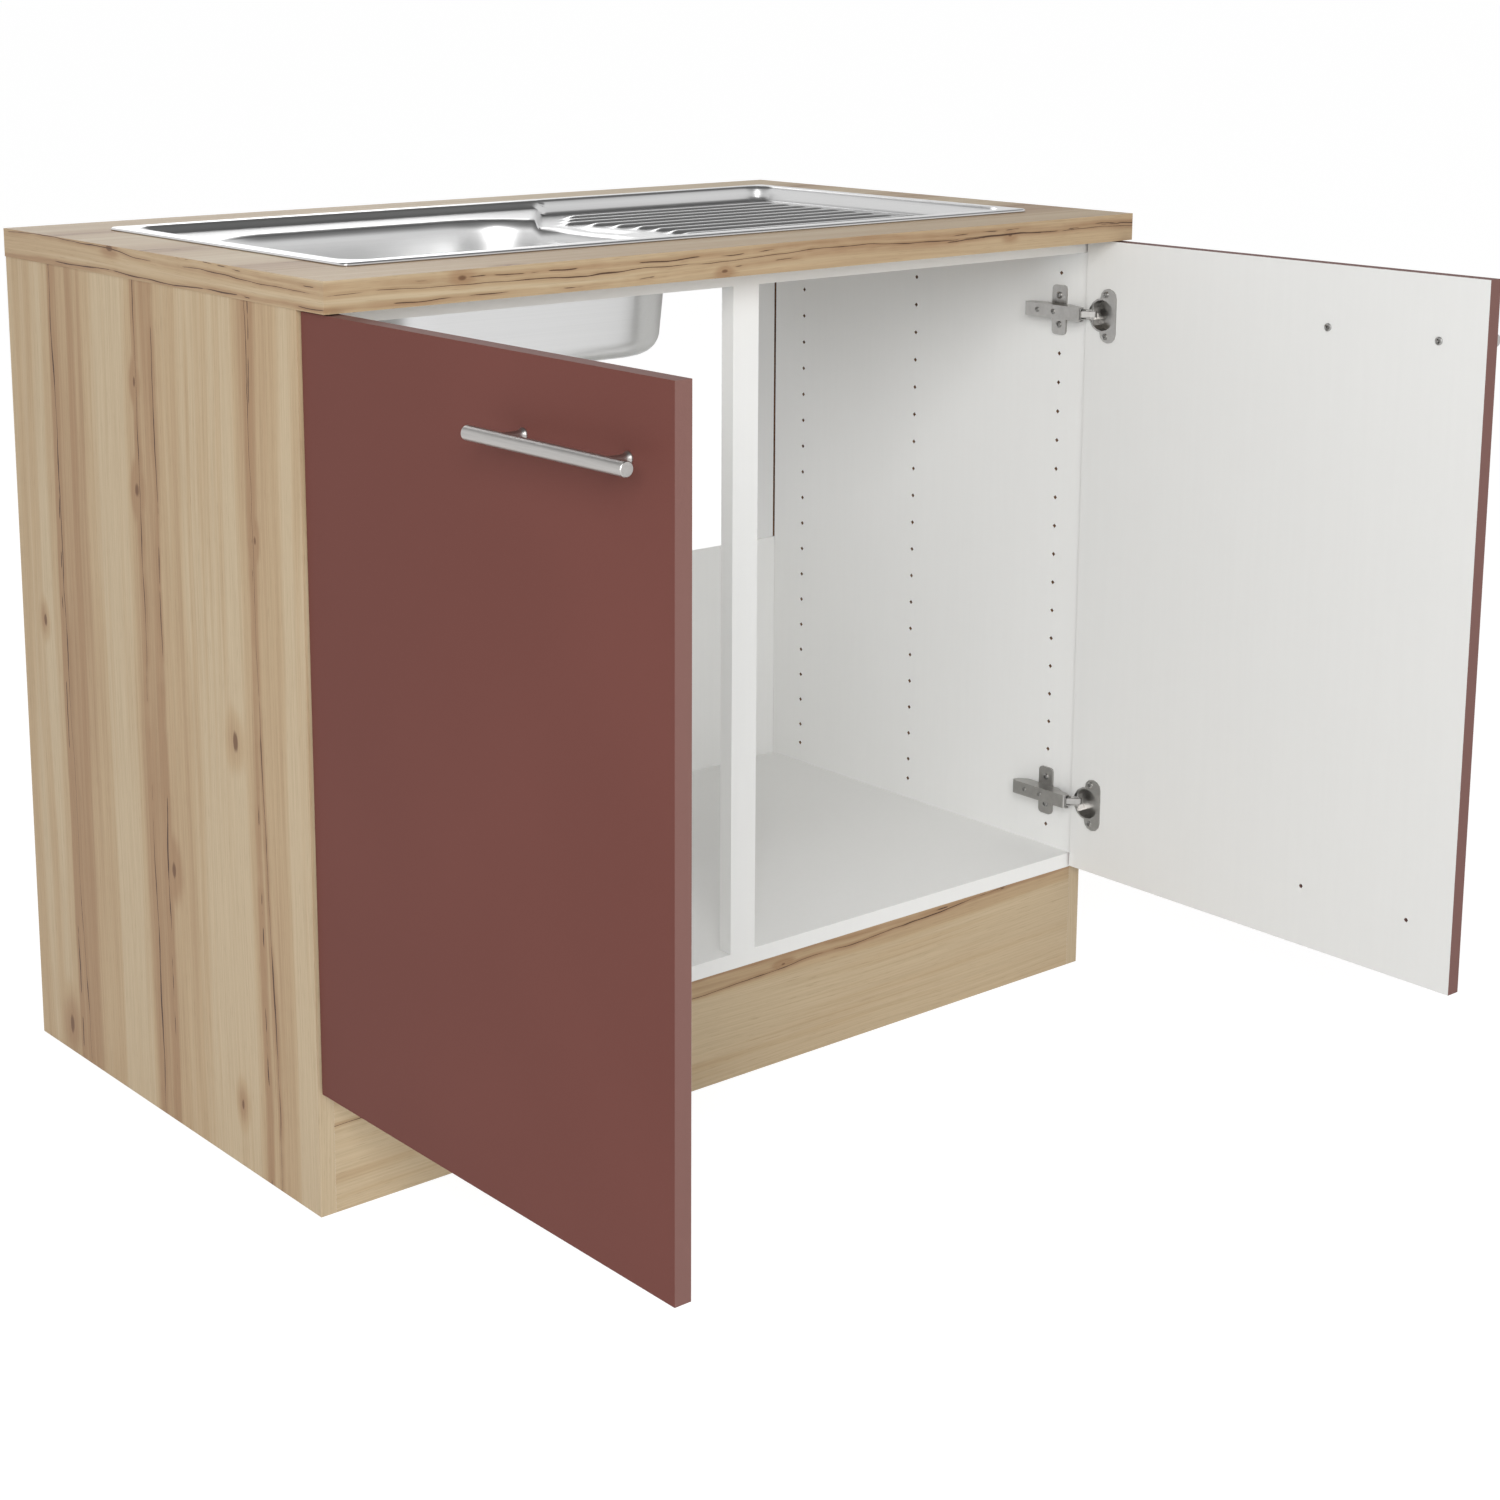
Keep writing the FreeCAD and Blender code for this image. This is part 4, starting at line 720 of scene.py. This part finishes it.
for side, sign in (("left", -1), ("right", 1)):
    bar = lathe(BAR_PROFILE, facing((sign * BAR_OUT, BAR_ENDS[0], BAR_UP), (0, 1, 0)), 56)
    piece(f"handle_rod_{side}", *bar, HANDLE, f"{side}_door", "handle_steel", [f"handle_bar_{side}"])
    turned = [lathe(POST_PROFILE, facing((sign * POST_SEAT, y, BAR_UP), (sign, 0, 0)), 40) for y in POST_PLACES]
    piece(f"handle_feet_{side}", *gather(turned), HANDLE, f"{side}_door", "handle_steel",
          [f"handle_posts_{side}"])

# ---- screws ------------------------------------------------------------------------------------------


def islands(node):
    """Lowest and highest corners of each separate body in a CAD node."""
    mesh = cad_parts[node].data
    parent = list(range(len(mesh.vertices)))

    def root(index):
        while parent[index] != index:
            parent[index] = parent[parent[index]]
            index = parent[index]
        return index

    places = {}
    for vertex in mesh.vertices:
        key = tuple(round(value, 6) for value in vertex.co)
        first = places.setdefault(key, vertex.index)
        parent[root(vertex.index)] = root(first)
    for edge in mesh.edges:
        parent[root(edge.vertices[0])] = root(edge.vertices[1])
    groups = {}
    for vertex in mesh.vertices:
        groups.setdefault(root(vertex.index), []).append(vertex.co)
    return [([min(co[axis] for co in group) for axis in range(3)],
             [max(co[axis] for co in group) for axis in range(3)]) for group in groups.values()]


SCREW_SIDES = 24
DOME = (0.62, 0.86, 1.0)  # rings of the head, as shares of its radius
DOME_START, DOME_FALL = 0.5, 0.45
CROSS_ARM, CROSS_WING, CROSS_TAPER, CROSS_DEEP = 0.16, 0.56, 0.82, 0.1
POINT = 0.85


def cross_screw(matrix, radius, head, shank, length):
    """A screw with a domed head and a cross recess; its axis is the matrix's Z and its seat is at 0."""
    arm, wing = radius * CROSS_ARM, radius * CROSS_WING
    cross = [(arm, arm), (arm, wing), (-arm, wing), (-arm, arm), (-wing, arm), (-wing, -arm), (-arm, -arm),
             (-arm, -wing), (arm, -wing), (arm, -arm), (wing, -arm), (wing, arm)]
    corners = len(cross)
    spots, loops = [], []
    for number, share in enumerate(DOME):
        start = number * SCREW_SIDES
        for turn in range(SCREW_SIDES):
            angle = 2 * math.pi * turn / SCREW_SIDES
            spots.append((radius * share * math.cos(angle), radius * share * math.sin(angle)))
            loops.append((start + turn, start + (turn + 1) % SCREW_SIDES))
    start = len(spots)
    loops += [(start + turn, start + (turn + 1) % corners) for turn in range(corners)]
    made, _, triangles, *_ = delaunay_2d_cdt([Vector(spot) for spot in spots + cross], loops, [], 0, 1e-7)
    points, faces = [], []
    for spot in made:
        out = max(spot.length / radius - DOME_START, 0)
        points.append((spot.x, spot.y, head * (1 - DOME_FALL * out ** 2 / DOME_START ** 2)))
    for face in triangles:
        middle = sum((made[corner] for corner in face), Vector((0, 0))) / len(face)
        near, far = sorted((abs(middle.x), abs(middle.y)))
        if not (near < arm and far < wing):
            faces.append(tuple(face))
    start = len(points)
    for x, y in cross:
        points += [(x, y, head), (x * CROSS_TAPER, y * CROSS_TAPER, -head * CROSS_DEEP)]
    for turn in range(corners):
        after = (turn + 1) % corners
        faces.append((start + 2 * turn, start + 2 * after, start + 2 * after + 1, start + 2 * turn + 1))
    faces.append(tuple(start + 2 * turn + 1 for turn in range(corners)))
    side = [(radius, head * (1 - DOME_FALL)), (radius, 0), (shank, 0), (shank, -length * POINT), (0, -length)]
    points, faces = gather([(points, faces), lathe(side, Matrix.Identity(4), SCREW_SIDES)])
    return [matrix @ Vector(point) for point in points], faces


# Kind of screw, height of its head, radius of its shank, and whether it is in the door or the cabinet.
SCREWS = (("cup", 0.0013, 0.0015, True), ("plate", 0.0016, 0.0017, False),
          ("arm", 0.0012, 0.0016, False), ("handle", 0.0016, 0.0019, True))
SCREW_TURN, SCREW_TURN_STEP = 17, 31

for side, sign in (("left", 1), ("right", -1)):
    for kind, head, shank, in_door in SCREWS:
        node = f"{kind}_screws_{side}"
        made = []
        for low, high in islands(node):
            radius = (high[2] - low[2]) / 2
            length = high[0] - low[0] - head
            seat = (high[0] - head) if sign > 0 else (low[0] + head)
            spin = Matrix.Rotation(math.radians(SCREW_TURN + SCREW_TURN_STEP * len(made)), 4, "Z")
            place = facing((seat, (low[1] + high[1]) / 2, (low[2] + high[2]) / 2), (sign, 0, 0)) @ spin
            made.append(cross_screw(place, radius, head, shank, length))
        piece(f"{kind}_screw_heads_{side}", *gather(made), SCREW, f"{side}_door" if in_door else "cabinet",
              "screw_steel", [node], angle=30)

# ---- camera, light and floor -------------------------------------------------------------------------

CAMERA_PLACE = (-1.6475, -1.9111, 1.0985)
CAMERA_TURN = (39.2141, 11.3164, 0.0053)  # yaw, pitch down and roll, in degrees

yaw, pitch, roll = (math.radians(angle) for angle in CAMERA_TURN)
ahead = Vector((math.sin(yaw) * math.cos(pitch), math.cos(yaw) * math.cos(pitch), -math.sin(pitch)))
level_right = Vector((math.cos(yaw), -math.sin(yaw), 0))
right = math.cos(roll) * level_right + math.sin(roll) * level_right.cross(ahead)
up = right.cross(ahead)
lens = bpy.data.cameras.new("Camera")
lens.lens = 63.4
lens.sensor_width = 36
lens.shift_x = 0.05
lens.shift_y = -0.165
camera = bpy.data.objects.new("Camera", lens)
camera.matrix_world = Matrix.Translation(CAMERA_PLACE) @ Matrix((right, up, -ahead)).transposed().to_4x4()
scene.collection.objects.link(camera)
scene.camera = camera

# The world is white to the camera and AMBIENT to matt surfaces. Shiny ones see white that dims overhead.
AMBIENT, OVERHEAD = 0.50, 0.13
world = bpy.data.worlds.new("Studio")
scene.world = world
world.use_nodes = True
world.node_tree.nodes.clear()
sky = Shade.of(world.node_tree)
rays = sky.add("ShaderNodeLightPath").outputs
mirrored = sky.math("MAXIMUM", rays["Is Glossy Ray"], rays["Is Transmission Ray"])
height = sky.axes(sky.add("ShaderNodeTexCoord").outputs["Generated"])[2]
ceiling = sky.step(height, 0.44, 0.62, 1.0, OVERHEAD)
level = sky.add("ShaderNodeMix", {0: mirrored, 2: AMBIENT, 3: ceiling}).outputs[0]
level = sky.add("ShaderNodeMix", {0: rays["Is Camera Ray"], 2: level, 3: 1.0}).outputs[0]
sky.add("ShaderNodeOutputWorld", {"Surface": sky.add("ShaderNodeBackground", {
    "Color": (1, 1, 1, 1), "Strength": level}).outputs[0]})


def lamp(name, place, target, size, power):
    """A rectangular lamp that faces a target."""
    light = bpy.data.lights.new(name, "AREA")
    light.shape = "RECTANGLE"
    light.size, light.size_y = size
    light.energy = power
    thing = bpy.data.objects.new(name, light)
    thing.matrix_world = facing(place, Vector(place) - Vector(target))
    scene.collection.objects.link(thing)


lamp("Key", (-3.0, -3.3, 2.3), (0.1, 0.1, 0.40), (2.6, 2.2), 150)
lamp("Back", (0.8, 3.2, 2.6), (0, 0.1, 0.7), (2.6, 1.6), 24)

FLOOR_HALF, FLOOR_TOP = 90, -0.0004
floor_mesh = bpy.data.meshes.new("floor")
floor_mesh.from_pydata([(FLOOR_HALF * x, FLOOR_HALF * y, FLOOR_TOP) for x, y in ((-1, -1), (1, -1), (1, 1), (-1, 1))],
                       [], [(0, 1, 2, 3)])
ground = bpy.data.objects.new("floor", floor_mesh)
scene.collection.objects.link(ground)
# The floor is pale paint to diffuse rays. To others it glows nearly white and keeps a soft shadow.
shade = Shade("floor_paint")
path = shade.add("ShaderNodeLightPath").outputs
seen = shade.math("MAXIMUM", shade.math("MAXIMUM", path["Is Camera Ray"], path["Is Glossy Ray"]),
                  path["Is Transmission Ray"])
paint = shade.add("ShaderNodeBsdfDiffuse", {"Color": (0.85, 0.85, 0.85, 1)})
soft_paint = shade.add("ShaderNodeBsdfDiffuse", {"Color": (0.26, 0.26, 0.26, 1)})
glow = shade.add("ShaderNodeEmission", {"Color": (1, 1, 1, 1), "Strength": 0.865})
pale = shade.add("ShaderNodeAddShader", {0: soft_paint.outputs[0], 1: glow.outputs[0]})
both = shade.add("ShaderNodeMixShader", {0: seen, 1: paint.outputs[0], 2: pale.outputs[0]})
shade.add("ShaderNodeOutputMaterial", {"Surface": both.outputs[0]})
floor_mesh.materials.append(shade.material)
